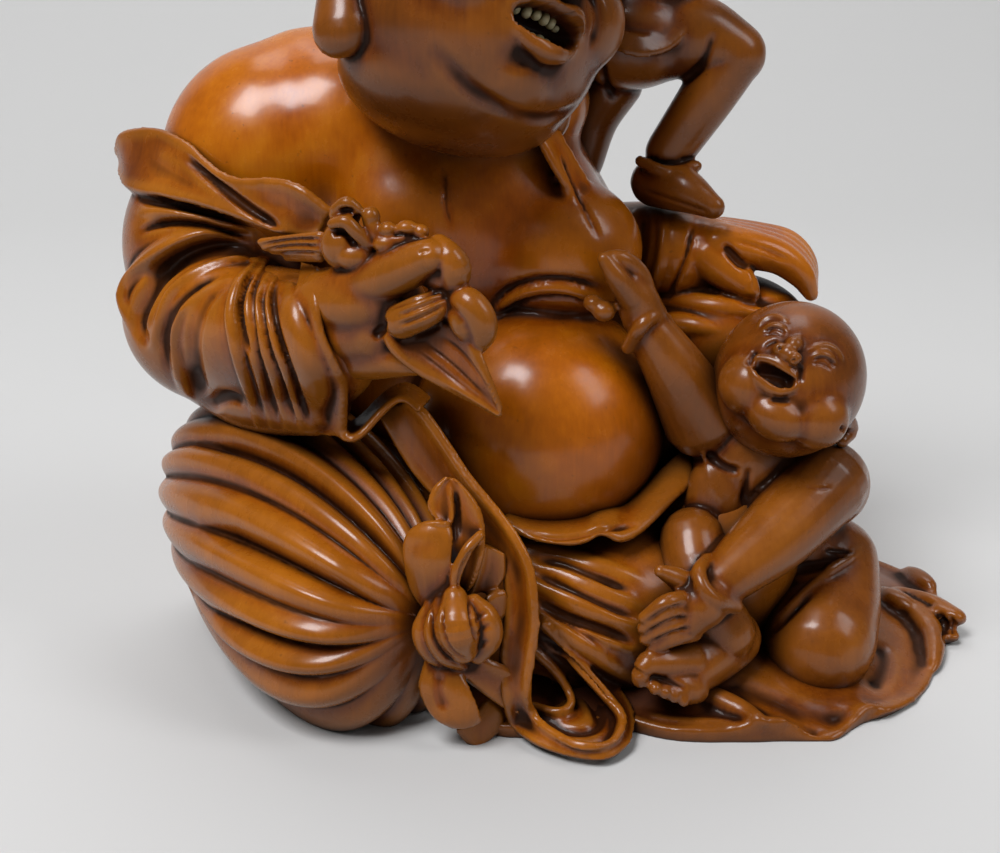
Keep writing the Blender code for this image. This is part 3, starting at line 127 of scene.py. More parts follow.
def ramp(tree, feed, stops):
    """A colour ramp through (place, hex colour) stops."""
    made = node(tree, "ValToRGB", {"Fac": feed})
    points = made.color_ramp.elements
    while len(points) < len(stops):
        points.new(0.5)
    for point, (place, code) in zip(points, stops):
        point.position = place
        point.color = linear(code)
    return made.outputs["Color"]


def boxwood(name, shades, rubbed, shine):
    """Waxed boxwood with painted shade: four shades of its stain, the colour of its rubbed crests, and its
    roughness.
    """
    made = bpy.data.materials.new(name)
    made.use_nodes = True
    tree = made.node_tree
    shader = tree.nodes["Principled BSDF"]
    place = node(tree, "TexCoord").outputs["Object"]
    fine = (1 / GRAIN_WIDE, 1 / GRAIN_WIDE, 1 / GRAIN_LONG)
    along = node(tree, "Mapping", {"Vector": place, "Rotation": GRAIN_LEAN, "Scale": fine}).outputs["Vector"]
    grain = node(tree, "TexNoise", {"Vector": along, "Scale": 1, "Detail": 3,
                                    "Roughness": 0.55}).outputs["Fac"]
    clouds = node(tree, "TexNoise", {"Vector": place, "Scale": 1 / CLOUD_WIDE, "Detail": 4}).outputs["Fac"]
    patches = node(tree, "TexNoise", {"Vector": place, "Scale": 4 / CLOUD_WIDE, "Detail": 5,
                                      "Roughness": 0.6}).outputs["Fac"]
    tone = node(tree, "Math", {0: clouds, 1: 0.62}, operation="MULTIPLY").outputs[0]
    tone = node(tree, "Math", {0: grain, 1: 0.16, 2: tone}, operation="MULTIPLY_ADD").outputs[0]
    tone = node(tree, "Math", {0: patches, 1: 0.22, 2: tone}, operation="MULTIPLY_ADD").outputs[0]
    wood = ramp(tree, tone, list(zip((0.36, 0.47, 0.56, 0.68), shades)))
    specks = node(tree, "TexNoise", {"Vector": place, "Scale": 1 / SPECK_WIDE, "Detail": 2}).outputs["Fac"]
    specks = node(tree, "MapRange", {"Value": specks, "From Min": 0.69, "From Max": 0.76,
                                     "To Max": 0.5}).outputs[0]
    wood = node(tree, "Mix", {0: specks, 6: wood, 7: linear("#4A220C")}, data_type="RGBA").outputs[2]
    hollow = node(tree, "Attribute", attribute_name="hollow").outputs["Fac"]
    shade = node(tree, "AmbientOcclusion", {"Distance": SHADE_REACH}, samples=SHADE_RAYS).outputs["AO"]
    # Painted shade: where other wood lies within SHELTER_REACH, and where the face turns downwards, the
    # colour is mixed towards a dark #381303.
    shelter = node(tree, "AmbientOcclusion", {"Distance": SHELTER_REACH}, samples=SHADE_RAYS).outputs["AO"]
    painted_shade_under_and_between = node(tree, "MapRange", {"Value": shelter, "From Min": 0.58, "From Max": 0.16,
                                      "To Max": 0.8}).outputs[0]
    facing = node(tree, "SeparateXYZ", {"Vector": node(tree, "NewGeometry").outputs["Normal"]}).outputs["Z"]
    under = node(tree, "MapRange", {"Value": facing, "From Min": 0.05, "From Max": -0.6,
                                    "To Max": 0.72}).outputs[0]
    painted_shade_under_and_between = node(tree, "Math", {0: painted_shade_under_and_between, 1: under}, operation="MAXIMUM").outputs[0]
    wood = node(tree, "Mix", {0: painted_shade_under_and_between, 6: wood, 7: linear("#381303")}, data_type="RGBA").outputs[2]
    worn = node(tree, "MapRange", {"Value": hollow, "From Min": 0.47, "From Max": 0.20,
                                   "To Max": 0.34}).outputs[0]
    wood = node(tree, "Mix", {0: worn, 6: wood, 7: linear(rubbed)}, data_type="RGBA").outputs[2]
    # Dark old wax lies in the deepest carved hollows, and the short-reach occlusion adds painted shade
    # wherever the wood is hidden.  Together they darken the colour towards #180803 and make it rougher and
    # less glossy.
    deep = node(tree, "MapRange", {"Value": hollow, "From Min": 0.56, "From Max": 0.92}).outputs[0]
    buried = node(tree, "MapRange", {"Value": shade, "From Min": 0.62, "From Max": 0.14}).outputs[0]
    old_wax_and_painted_shade = node(tree, "Math", {0: deep, 1: buried}, operation="MAXIMUM").outputs[0]
    dirty = node(tree, "MapRange", {"Value": patches, "From Min": 0.3, "From Max": 0.7, "To Min": 0.76,
                                    "To Max": 1.0}).outputs[0]
    old_wax_and_painted_shade = node(tree, "Math", {0: old_wax_and_painted_shade, 1: dirty}, operation="MULTIPLY").outputs[0]
    wood = node(tree, "Mix", {0: old_wax_and_painted_shade, 6: wood, 7: linear("#180803")}, data_type="RGBA").outputs[2]
    tree.links.new(wood, shader.inputs["Base Color"])
    rough = node(tree, "MapRange", {"Value": patches, "From Min": 0.3, "From Max": 0.7, "To Min": shine,
                                    "To Max": shine + 0.1}).outputs[0]
    rough = node(tree, "Math", {0: old_wax_and_painted_shade, 1: 0.3, 2: rough}, operation="MULTIPLY_ADD").outputs[0]
    tree.links.new(rough, shader.inputs["Roughness"])
    sheen = node(tree, "Math", {0: old_wax_and_painted_shade, 1: -0.42, 2: 0.5}, operation="MULTIPLY_ADD").outputs[0]
    tree.links.new(sheen, shader.inputs["Specular IOR Level"])
    bumps = node(tree, "Bump", {"Height": grain, "Strength": 0.08, "Distance": 0.00008}).outputs["Normal"]
    tree.links.new(bumps, shader.inputs["Normal"])
    shader.inputs["IOR"].default_value = 1.42
    shader.inputs["Coat Weight"].default_value = 0.12
    shader.inputs["Coat Roughness"].default_value = 0.10
    return made


# Three copies of one wood: the golden one for the lit, most handled pieces, and the darker amber and brown
# ones for the pieces that lie more in shadow, so that their difference is partly stain and partly painted
# shade.
GOLDEN_SHADES = ("#8A4002", "#A85202", "#BC6302", "#CE7806")
AMBER_SHADES = ("#6A3004", "#864205", "#9C5208", "#B2640C")
BROWN_SHADES = ("#522406", "#703607", "#864608", "#9C580E")
rubbed = boxwood("waxed_boxwood_rubbed_golden_painted_light", GOLDEN_SHADES, "#C87A1C", 0.20)
amber = boxwood("waxed_boxwood_amber_and_painted_shade", AMBER_SHADES, "#B2701E", 0.22)
brown = boxwood("waxed_boxwood_brown_stain_and_painted_shade", BROWN_SHADES, "#9C5E1C", 0.23)

# The trunk: bare chest, right shoulder and great belly, and the robe that falls down the back.
# It is one mass of the block, its forms eased into each other and rubbed smooth.
# TRUNK_GRID is the spacing of the trunk's points in millimetres.  Each piece then keeps this share
# of its triangles, where the wood bends most.
TRUNK_GRID = 1.0
TRIANGLES_KEPT = 0.6
BELLY_AT, BELLY_HALF = (9, -12, 55), (30, 31.5, 30)
CHEST_AT, CHEST_HALF = (-11, 2, 100), (36, 26, 29)
SHOULDER_AT, SHOULDER_HALF = (-51, 5, 112), (28, 25, 29)
NECK_AT, NECK_HALF = (-6, 2, 128), (27, 22, 17)
ROBE_RINGS = [(-4, 6, 8, 58, 40), (16, 4, 9, 55, 38), (40, 0, 12, 49, 33), (66, -4, 14, 45, 31),
              (90, -7, 14, 42, 29), (108, -12, 14, 37, 24), (122, -10, 12, 27, 19), (132, -8, 9, 16, 12)]
BACK_FOLDS = [
    ([(-70, 14, 112), (-52, 32, 116), (-30, 38, 122), (-8, 32, 130), (8, 20, 134)], 5, 2.6),
    ([(-66, 24, 100), (-48, 38, 100), (-20, 45, 96), (12, 42, 80), (40, 26, 66)], 6, 2.8),
    ([(-62, 28, 84), (-44, 40, 76), (-16, 46, 62), (16, 44, 44), (46, 32, 30)], 6, 2.8),
    ([(-58, 34, 66), (-42, 42, 52), (-18, 48, 34), (8, 48, 16)], 5, 2.2),
    ([(-62, 24, 108), (-40, 38, 108), (-12, 40, 108), (14, 36, 96), (30, 28, 84)], 3, -1.6),
    ([(-62, 28, 92), (-44, 40, 88), (-16, 46, 78), (14, 44, 62), (42, 30, 48)], 3.4, -1.8),
]
CHEST_LINES = [
    ([(444, 166), (446, 195), (451, 230)], 1.1, -0.5),
    ([(492, 316), (512, 297), (540, 288), (572, 290), (604, 303)], 1.8, 1.2),
    ([(490, 306), (512, 288), (545, 279), (580, 282), (606, 292)], 1.6, -1.1),
    ([(494, 322), (516, 304), (545, 297), (575, 298), (600, 308)], 0.9, -0.7),
    ([(560, 150), (572, 180), (592, 222), (600, 240)], 1.0, -0.7),
]


def at(u, v, deep):
    """The point seen at a pixel, this far back (Y) in millimetres."""
    ray = sight(u, v)
    return EYE + ray * ((deep - EYE.y) / ray.y)


def low(u, v, height):
    """The point seen at a pixel, this far above the ground in millimetres."""
    ray = sight(u, v)
    return EYE + ray * ((height - EYE.z) / ray.z)


def seen(places):
    """The points of (pixel, pixel, depth) places."""
    return [at(*place) for place in places]


def smooth_path(points, step):
    """Points about a step apart on the smooth curve through the given ones."""
    keys = [np.array(p, float) for p in points]
    keys = [2 * keys[0] - keys[1], *keys, 2 * keys[-1] - keys[-2]]
    found = []
    for a, b, c, d in zip(keys, keys[1:], keys[2:], keys[3:]):
        count = max(2, round(np.linalg.norm((c - b)[:3]) / step))
        for t in np.arange(count) / count:
            bend = (2 * a - 5 * b + 4 * c - d) * t**2 + (3 * b - a - 3 * c + d) * t**3
            found.append(0.5 * (2 * b + (c - a) * t + bend))
    return [*found, keys[-2]]


class Wood:
    """Masses of wood put together in one mesh, in millimetres, each placed in a frame of its own."""

    def __init__(self, frame=None):
        self.bm = bmesh.new()
        self.frame = frame or Matrix.Identity(4)

    def ball(self, at, half, turn=(0, 0, 0)):
        """An egg with these half-lengths, turned by angles in degrees."""
        angles = Euler([math.radians(a) for a in turn]).to_matrix().to_4x4()
        place = self.frame @ Matrix.Translation(at) @ angles @ Matrix.Diagonal((*half, 1))
        fine = 3 if max(half) < 4 else 4 if max(half) < 12 else 5
        bmesh.ops.create_icosphere(self.bm, subdivisions=fine, radius=1, matrix=place)

    def loft(self, rings):
        """A closed shape through rings of points."""
        loops = [[self.bm.verts.new(self.frame @ Vector(p)) for p in ring] for ring in rings]
        for low, high in zip(loops, loops[1:]):
            for i, corner in enumerate(low):
                j = (i + 1) % len(low)
                self.bm.faces.new((corner, low[j], high[j], high[i]))
        self.bm.faces.new(loops[0][::-1])
        self.bm.faces.new(loops[-1])

    def limb(self, path, radii, flat=1.0, facing=(0.31, 0.17, 0.93)):
        """A round-ended limb along a smooth path, squeezed by flat along the way it faces."""
        if isinstance(radii, (int, float)):
            radii = [radii] * len(path)
        line = smooth_path([(*p, r) for p, r in zip(path, radii)], max(0.6, min(radii) * 0.4))
        centres = [Vector(k[:3]) for k in line]
        steps = [(b - a).normalized() for a, b in zip(centres, centres[1:])]
        ahead = [steps[0], *[(a + b).normalized() for a, b in zip(steps, steps[1:])], steps[-1]]
        last = len(line) - 1
        cap = [(math.sin(a), math.cos(a)) for a in (1.45, 1.15, 0.8, 0.4)]
        stations = [(0, -s, c) for s, c in cap] + [(i, 0, 1) for i in range(last + 1)]
        stations += [(last, s, c) for s, c in cap[::-1]]
        rings = []
        for i, reach, share in stations:
            n = (Vector(facing) - Vector(facing).dot(ahead[i]) * ahead[i]).normalized()
            b = ahead[i].cross(n)
            r = max(0.25, line[i][3])
            middle = centres[i] + ahead[i] * reach * r
            turns = [math.tau * k / 24 for k in range(24)]
            rings.append([middle + (b * math.cos(a) + n * flat * math.sin(a)) * r * share for a in turns])
        self.loft(rings)

    def ribbon(self, near_edge, far_edge, thick, belly=0.0):
        """A band of cloth between two edges of as many points, its middle raised by belly."""
        pairs = smooth_path([(*a, *b) for a, b in zip(near_edge, far_edge)], 0.9)
        rings = []
        for i, pair in enumerate(pairs):
            a, b = Vector(pair[:3]), Vector(pair[3:])
            before, after = pairs[max(0, i - 1)], pairs[min(len(pairs) - 1, i + 1)]
            ahead = Vector(after[:3] + after[3:]) - Vector(before[:3] + before[3:])
            out = ahead.cross(b - a).normalized()
            edge = (b - a).normalized() * thick / 2
            section = []
            for side in (1, -1):
                for share in (0, 0.25, 0.5, 0.75, 1)[::side]:
                    lift = out * (side * thick / 2 + belly * math.sin(math.pi * share))
                    section.append(a.lerp(b, share) + lift)
                section.append((b + edge if side > 0 else a - edge))
            rings.append(section)
        self.loft(rings)

    def fold(self, line, width, rise=0.5):
        """A rounded fold along a line on the wood, sunk into it but for its rise, fading at its ends."""
        points, facing = laid(BVHTree.FromBMesh(self.bm), line)
        count = len(points) - 1
        if count < 2:
            return
        swell = [max(0, math.sin(math.pi * i / count)) ** 0.6 for i in range(count + 1)]
        radii = [width * (0.3 + 0.7 * share) for share in swell]
        centres = [p + n * r * (rise - 1) for p, n, r in zip(points, facing, radii)]
        self.limb([Vector(c) for c in centres], radii)

    def balls(self, table):
        """Eggs, each at a (pixel, pixel, depth) place, with its half-lengths and any turn."""
        for place, *sizes in table:
            self.ball(at(*place), *sizes)

    def limbs(self, table):
        """Limbs, each along (pixel, pixel, depth) places, with its radii and any squeeze."""
        for places, *sizes in table:
            self.limb(seen(places), *sizes)

    def ribbons(self, table):
        """Bands of cloth, each between two rows of (pixel, pixel, depth) places."""
        for near, far, *sizes in table:
            self.ribbon(seen(near), seen(far), *sizes)

    def folds(self, table):
        """Folds, each along a line of pixels, with its width and rise."""
        for line, width, rise in table:
            self.fold(line, width, rise)

    def settle(self, grid, ease):
        """Joins the masses as one skin on a grid, and eases them into one another."""
        mesh = bpy.data.meshes.new("wood")
        bmesh.ops.recalc_face_normals(self.bm, faces=self.bm.faces)
        self.bm.to_mesh(mesh)
        lump = bpy.data.objects.new("wood", mesh)
        bpy.context.scene.collection.objects.link(lump)
        join = lump.modifiers.new("join", "REMESH")
        join.mode = "VOXEL"
        join.voxel_size = grid * 1
        soft = lump.modifiers.new("ease", "SMOOTH")
        soft.factor = 0.5
        soft.iterations = ease
        graph = bpy.context.evaluated_depsgraph_get()
        skin = bpy.data.meshes.new_from_object(lump.evaluated_get(graph))
        bpy.data.objects.remove(lump)
        bpy.data.meshes.remove(mesh)
        self.bm.clear()
        self.bm.from_mesh(skin)
        bpy.data.meshes.remove(skin)


def laid(skin, line, leap=7):
    """(points, normals) of a line on the skin: drawn in pixels it is seen there, in space it is nearest."""
    runs = [[]]
    for p in smooth_path(line, 4 if len(line[0]) == 2 else 1):
        if len(p) == 3:
            hit, normal, _, _ = skin.find_nearest(Vector(p))
        else:
            hit, normal, _, _ = skin.ray_cast(EYE, sight(*p))
        if hit is None:
            continue
        if runs[-1] and (hit - runs[-1][-1][0]).length > leap:
            runs.append([])
        runs[-1].append((hit, normal))
    longest = max(runs, key=len)
    points, facing = [np.array(hit) for hit, _ in longest], [np.array(normal) for _, normal in longest]
    for _ in range(3 if len(line[0]) == 2 and len(points) > 2 else 0):
        eased = [(a + 2 * b + c) / 4 for a, b, c in zip(points, points[1:], points[2:])]
        points = [points[0], *eased, points[-1]]
        facing = [facing[0], *(a + 2 * b + c for a, b, c in zip(facing, facing[1:], facing[2:])), facing[-1]]
        facing = [n / max(1e-6, np.linalg.norm(n)) for n in facing]
    return points, facing


def cut(spots, normals, skin, lines):
    """Raises or hollows the skin along lines of (path, half-width, height) in millimetres."""
    for line, half, height in lines:
        points, facing = laid(skin, line)
        if len(points) < 3:
            continue
        points, facing = np.array(points), np.array(facing)
        inside = (spots > points.min(0) - half) & (spots < points.max(0) + half)
        near = np.flatnonzero(inside.all(1))
        if not len(near):
            continue
        start, span = points[:-1], points[1:] - points[:-1]
        apart = spots[near][:, None] - start
        share = np.clip((apart * span).sum(2) / np.maximum((span * span).sum(1), 1e-9), 0, 1)
        gap = np.linalg.norm(apart - share[..., None] * span, axis=2)
        best = gap.argmin(1)
        row = np.arange(len(near))
        away = np.minimum(1, gap[row, best] / half)
        along = (best + share[row, best]) / len(span)
        fade = np.minimum(1, 5 * np.minimum(along, 1 - along) + 0.05)
        profile = (1 - away) ** 1.5 * (1 + 1.5 * away) if height < 0 else (1 - away**2) ** 2
        same = (normals[near] * facing[best]).sum(1) > -0.2
        spots[near] += normals[near] * (height * profile * fade * same)[:, None]


def hollows(mesh):
    """Marks how far each point lies below the wood around it: 0.5 is level, more is a hollow."""
    count = len(mesh.vertices)
    spots = np.empty(count * 3)
    mesh.vertices.foreach_get("co", spots)
    spots = spots.reshape(-1, 3)
    normals = np.empty(count * 3)
    mesh.vertices.foreach_get("normal", normals)
    ends = np.empty(len(mesh.edges) * 2, int)
    mesh.edges.foreach_get("vertices", ends)
    one, two = ends[::2], ends[1::2]
    degree = np.maximum(1, np.bincount(ends, minlength=count))
    soft = spots.copy()
    length = np.linalg.norm(spots[one] - spots[two], axis=1).mean()
    for _ in range(int(min(60, 3 * (1.6 * MM / length) ** 2 + 2))):
        total = [np.bincount(one, soft[two, k], count) + np.bincount(two, soft[one, k], count)
                 for k in range(3)]
        soft = np.stack(total, 1) / degree[:, None]
    depth = ((soft - spots) * normals.reshape(-1, 3)).sum(1) / (0.9 * MM)
    marks = mesh.attributes.new("hollow", "FLOAT", "POINT")
    marks.data.foreach_set("value", np.clip(0.5 + depth, 0, 1).astype(np.float32))


def finish_piece(wood, name, grid, ease, stain, lines=(), presses=()):
    """Skins the wood, cuts its lines, and makes it a waxed piece that stands for the carving."""
    if grid:
        wood.settle(grid, ease)
    mesh = bpy.data.meshes.new(name)
    bmesh.ops.recalc_face_normals(wood.bm, faces=wood.bm.faces)
    wood.bm.to_mesh(mesh)
    count = len(mesh.vertices)
    spots, normals = np.empty(count * 3), np.empty(count * 3)
    mesh.vertices.foreach_get("co", spots)
    mesh.vertices.foreach_get("normal", normals)
    spots, normals = spots.reshape(-1, 3), normals.reshape(-1, 3)
    skin = BVHTree.FromBMesh(wood.bm)
    cut(spots, normals, skin, lines)
    for frame_of, at_spot, half in presses:
        turn_back = np.array(frame_of.inverted())
        own = (spots @ turn_back[:3, :3].T + turn_back[:3, 3] - at_spot) / half
        inside = (own**2).sum(1) < 1
        own[inside, 1] = np.sqrt(1 - own[inside, 0] ** 2 - own[inside, 2] ** 2)
        forth = np.array(frame_of)
        spots[inside] = (own[inside] * half + at_spot) @ forth[:3, :3].T + forth[:3, 3]
    spots[:, 2] = np.maximum(spots[:, 2], 0)
    mesh.vertices.foreach_set("co", spots.ravel() * MM)
    mesh.update()
    mesh.shade_smooth()
    hollows(mesh)
    piece = bpy.data.objects.new(name, mesh)
    bpy.context.scene.collection.objects.link(piece)
    mesh.materials.append(stain)
    thin = piece.modifiers.new("thin", "DECIMATE")
    thin.ratio = TRIANGLES_KEPT
    graph = bpy.context.evaluated_depsgraph_get()
    piece.data = bpy.data.meshes.new_from_object(piece.evaluated_get(graph))
    piece.modifiers.clear()
    wood.bm.free()
    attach(piece, "root")
    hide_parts("carving")
    return piece


trunk = Wood()
trunk.ball(CHEST_AT, CHEST_HALF, (0, -6, 0))
trunk.ball((-19, -9, 103), (21, 17, 18))
trunk.ball((13, -9, 96), (20, 17, 17))
trunk.ball(SHOULDER_AT, SHOULDER_HALF)
trunk.ball((-36, 2, 118), (26, 21, 24))
NECK_SIDE = (322, 122, 8)
trunk.ball(at(*NECK_SIDE), (24, 20, 22))
trunk.ball((-24, 0, 108), (24, 22, 24))
trunk.ball((20, 12, 86), (18, 17, 15))
trunk.ball(NECK_AT, NECK_HALF)
rings = []
for height, x, y, wide, deep in smooth_path(ROBE_RINGS, 2):
    ring = []
    for i in range(240):
        turn = math.tau * i / 240
        behind = max(0, math.sin(turn)) ** 0.5
        swell = 1 + behind * 1.7 / wide * math.sin(turn * 13 + height * 0.045)
        ring.append((x + wide * swell * math.cos(turn), y + deep * swell * math.sin(turn), height))
    rings.append(ring)
trunk.loft(rings)
trunk.settle(1.3, 44)
trunk.ball(BELLY_AT, BELLY_HALF)
STRAP_NEAR = [(555, 128, -14), (571, 154, -14), (586, 182, -12), (604, 222, -8)]
STRAP_FAR = [(537, 134, -19), (550, 161, -20), (568, 190, -19), (594, 232, -14)]
trunk.ribbon(seen(STRAP_NEAR), seen(STRAP_FAR), 2.4, 0.6)
finish_piece(trunk, "trunk", TRUNK_GRID, 8, rubbed, [*BACK_FOLDS, *CHEST_LINES])


# The head: bald, calm, full-cheeked and long-lobed, turned to its left and tipped back.  It is
# carved with the trunk; its lips part on two inlaid rows of bone teeth.
HEAD_AT = (-5, -19, 155)
HEAD_TURN, HEAD_LEAN, HEAD_NOD = 36, 22, -8
SKULL_HALF, JAW_HALF = (28.5, 31, 31), (28, 25, 24)
EAR_OUT, EAR_LONG = 29, 46
EYE_APART, EYE_UP = 11, 9
MOUTH_DOWN, MOUTH_HALF = -11, 9.5
MOUTH_PIT = ((0, -28, -12.2), (8.6, 8, 3.7))


def head_frame(at, turn, lean, nod):
    """The frame of a head that is turned, leant and nodded by these angles in degrees."""
    spin = Matrix.Rotation(math.radians(turn), 4, "Z")
    tip = Matrix.Rotation(math.radians(lean), 4, "Y")
    bow = Matrix.Rotation(math.radians(nod), 4, "X")
    return Matrix.Translation(at) @ spin @ tip @ bow


def placed(frame, lines):
    """Lines of a frame's own points, moved into place."""
    return [([frame @ Vector(p) for p in path], half, height) for path, half, height in lines]


face_frame = head_frame(HEAD_AT, HEAD_TURN, HEAD_LEAN, HEAD_NOD)
head = Wood(face_frame)
head.ball((0, 3, 7), SKULL_HALF)
head.ball((0, -3, -11), JAW_HALF)
head.ball((0, 0, -23), (25, 22, 13))
head.ball((0, -17, -21), (11, 9, 9))
for side in (-1, 1):
    head.ball((side * 14, -16, -5), (12, 11, 11))
head.settle(1.0, 24)
head.limb([(0, -26, 14), (0, -30, 6), (0, -33, -0.5)], [2.6, 3.2, 4.6])
face_lines = []
for side in (-1, 1):
    head.ball((side * 4.4, -30, -2), (3.4, 3.4, 3))
    head.ball((side * EYE_APART, -24.5, EYE_UP - 1), (6.6, 4.6, 4.2))
    head.limb([(side * 4, -27, 15), (side * 12, -26, 18), (side * 20, -19, 16)], [1.8, 2.2, 1.2])
    head.limb([(side * EAR_OUT, 4, EAR_LONG * 0.34), (side * (EAR_OUT + 2.5), 9, EAR_LONG * 0.12),
               (side * EAR_OUT, 5, -EAR_LONG * 0.14), (side * (EAR_OUT - 1), 1, -EAR_LONG * 0.44)],
              [4, 6.5, 4.6, 6.0], flat=0.75, facing=(side, -0.4, 0))
    face_lines += [
        ([(side * 5, -29, 7.6), (side * 11, -29, 6.4), (side * 17, -25, 7.8)], 1.0, -0.9),
        ([(side * 4.6, -28, 11), (side * 11, -28, 13), (side * 17.6, -23, 11)], 1.0, -0.6),
        ([(side * 8.5, -28, 0), (side * 12.5, -27, -6), (side * 13.5, -25, -12)], 2.0, -0.8),
        ([(side * 33, 0, 16), (side * 36, 4, 8), (side * 33, 2, -2)], 2.2, -1.8),
        ([(side * 2.4, -34, -3.4), (side * 4, -33.5, -3.6), (side * 5.4, -32.5, -3.2)], 1.1, -1.0),
    ]
head.limb([(-10, -25, -11), (-5, -28.4, -8.6), (0, -29.2, -9.2), (5, -28.4, -8.6), (10, -25, -11)],
          [1, 2, 1.8, 2, 1])
head.limb([(-9.4, -25, -12.4), (0, -28.4, -17.4), (9.4, -25, -12.4)], [1, 2.6, 1])
face_lines += [
    ([(-9, -24, -20.6), (0, -28, -20), (9, -24, -20.6)], 3.2, -0.5),
    ([(-20, -18, -22), (-8, -22, -30), (8, -22, -30), (20, -18, -22)], 2.6, -0.8),
    ([(0, -30, -4.6), (0, -30, -7.6)], 1.2, -0.4),
]
finish_piece(head, "head", 0.6, 3, brown, placed(face_frame, face_lines), [(face_frame, *MOUTH_PIT)])

# The teeth: little blocks of cattle bone, filed round, set side by side along each jaw and gone
# the colour of old piano keys, with brown wax between them and painted shade where the lips hide them.
TOOTH_WIDE, TOOTH_TALL, TOOTH_DEEP = 2.1, 2.6, 2.2
TEETH = 6

bone = bpy.data.materials.new("aged_bone")
bone.use_nodes = True
tree = bone.node_tree
shader = tree.nodes["Principled BSDF"]
place = node(tree, "TexCoord").outputs["Object"]
stain = node(tree, "TexNoise", {"Vector": place, "Scale": 1 / 0.0025, "Detail": 4}).outputs["Fac"]
shade = node(tree, "AmbientOcclusion", {"Distance": 0.0022}, samples=SHADE_RAYS).outputs["AO"]
stain = node(tree, "Math", {0: stain, 1: 0.35, 2: 0}, operation="MULTIPLY_ADD").outputs[0]
# Painted shade: the bone is darkened wherever its short-reach occlusion finds it hidden, between the teeth
# and behind the lips, besides its own stain.
stain = node(tree, "Math", {0: shade, 1: stain}, operation="SUBTRACT").outputs[0]
ivory = ramp(tree, stain, [(0.15, "#4A3A1E"), (0.45, "#9C9068"), (0.75, "#C2B88F")])
tree.links.new(ivory, shader.inputs["Base Color"])
shader.inputs["Roughness"].default_value = 0.35
shader.inputs["Subsurface Weight"].default_value = 0.1
shader.inputs["Subsurface Scale"].default_value = 0.001

for name, up in (("upper_teeth", 1), ("lower_teeth", -1)):
    row = Wood(face_frame)
    middle = MOUTH_DOWN - 1.2 + up * 2.4
    for i in range(TEETH):
        x = (i - (TEETH - 1) / 2) * TOOTH_WIDE
        tall = TOOTH_TALL / 2 * (1.0 + 0.12 * math.sin(i * 2.3))
        front = -24 + 0.05 * x * x
        turn = math.degrees(math.atan(0.1 * x))
        row.ball((x, front, middle), (TOOTH_WIDE * 0.5, TOOTH_DEEP / 2, tall), (0, 0, turn))
        tip = (x, front + 0.1, middle - up * tall * 0.35)
        row.ball(tip, (TOOTH_WIDE * 0.49, TOOTH_DEEP * 0.46, tall * 0.72), (0, 0, turn))
    mesh = bpy.data.meshes.new(name + "_row")
    row.bm.to_mesh(mesh)
    mesh.transform(Matrix.Diagonal((MM, MM, MM, 1)))
    mesh.shade_smooth()
    mesh.materials.append(bone)
    piece = bpy.data.objects.new(name + "_row", mesh)
    bpy.context.scene.collection.objects.link(piece)
    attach(piece, "root")
    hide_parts(name)

# The right sleeve: the robe has slid off the shoulder, its collar turned out like a shell, and its
# folds gather above the elbow and hang to an open cuff.  Deep gouge cuts, crests left soft.
sleeve = Wood()
sleeve.ball((-64, 2, 94), (24.5, 24, 27))
sleeve.ball((-66, -6, 80), (22, 21, 21))
sleeve.limb([(-66, -8, 78), (-54, -22, 79), (-40, -36, 81)], [20, 19, 15], 0.75, (0.6, -0.8, 0))
sleeve.limb([(-66, -4, 70), (-54, -18, 67), (-40, -34, 68)], [14, 12, 8])
sleeve.settle(1.0, 18)
GATHERS = [
    ([(262, 256), (240, 284), (234, 309), (238, 345), (247, 384), (258, 426)], 2.2, 0.5),
    ([(268, 258), (252, 283), (247, 309), (251, 346), (260, 380), (272, 428)], 1.6, 0.6),
    ([(276, 262), (261, 286), (257, 309), (264, 346), (275, 381), (288, 430)], 1.6, 0.6),
    ([(284, 264), (270, 287), (268, 308), (275, 340), (288, 377), (304, 432)], 1.6, 0.6),
    ([(296, 262), (292, 290), (298, 326), (310, 366), (328, 430)], 5.4, 0.3),
]
sleeve.folds(GATHERS)
COLLAR_RIM = [(118, 152, 8), (122, 136, 4), (140, 131, -2), (160, 132, -7), (176, 139, -12), (192, 149, -16),
              (206, 163, -20), (223, 176, -24), (242, 182, -27), (264, 181, -30), (285, 183, -33),
              (302, 190, -35), (317, 201, -36), (332, 213, -37)]
COLLAR_FOOT = [(121, 172, 4), (128, 186, -4), (142, 191, -10), (159, 193, -14), (172, 196, -17),
               (188, 199, -20), (203, 203, -23), (219, 208, -26), (236, 214, -29), (254, 221, -31),
               (270, 227, -32), (284, 231, -34), (300, 234, -35), (318, 236, -37)]
sleeve.ribbon(seen(COLLAR_RIM), seen(COLLAR_FOOT), 2.2, 0.8)
CUFF_EDGES = [
    ([(320, 268, -40), (317, 298, -47.5), (322, 335, -50), (337, 368, -49.5), (345, 386, -47),
     (344, 436, -42)], [(304, 264, -34), (300, 298, -43.5), (306, 338, -45), (318, 378, -44),
     (326, 400, -42), (326, 434, -38)], 2.0),
    ([(342, 437, -43), (352, 439, -44), (362, 434, -43), (380, 414, -41), (395, 401, -40),
     (406, 400, -40), (420, 411, -42)], [(335, 420, -33), (350, 424, -33), (364, 416, -32),
     (382, 398, -31), (396, 388, -30), (410, 386, -30), (430, 400, -32)], 1.8),
]
sleeve.ribbons(CUFF_EDGES)
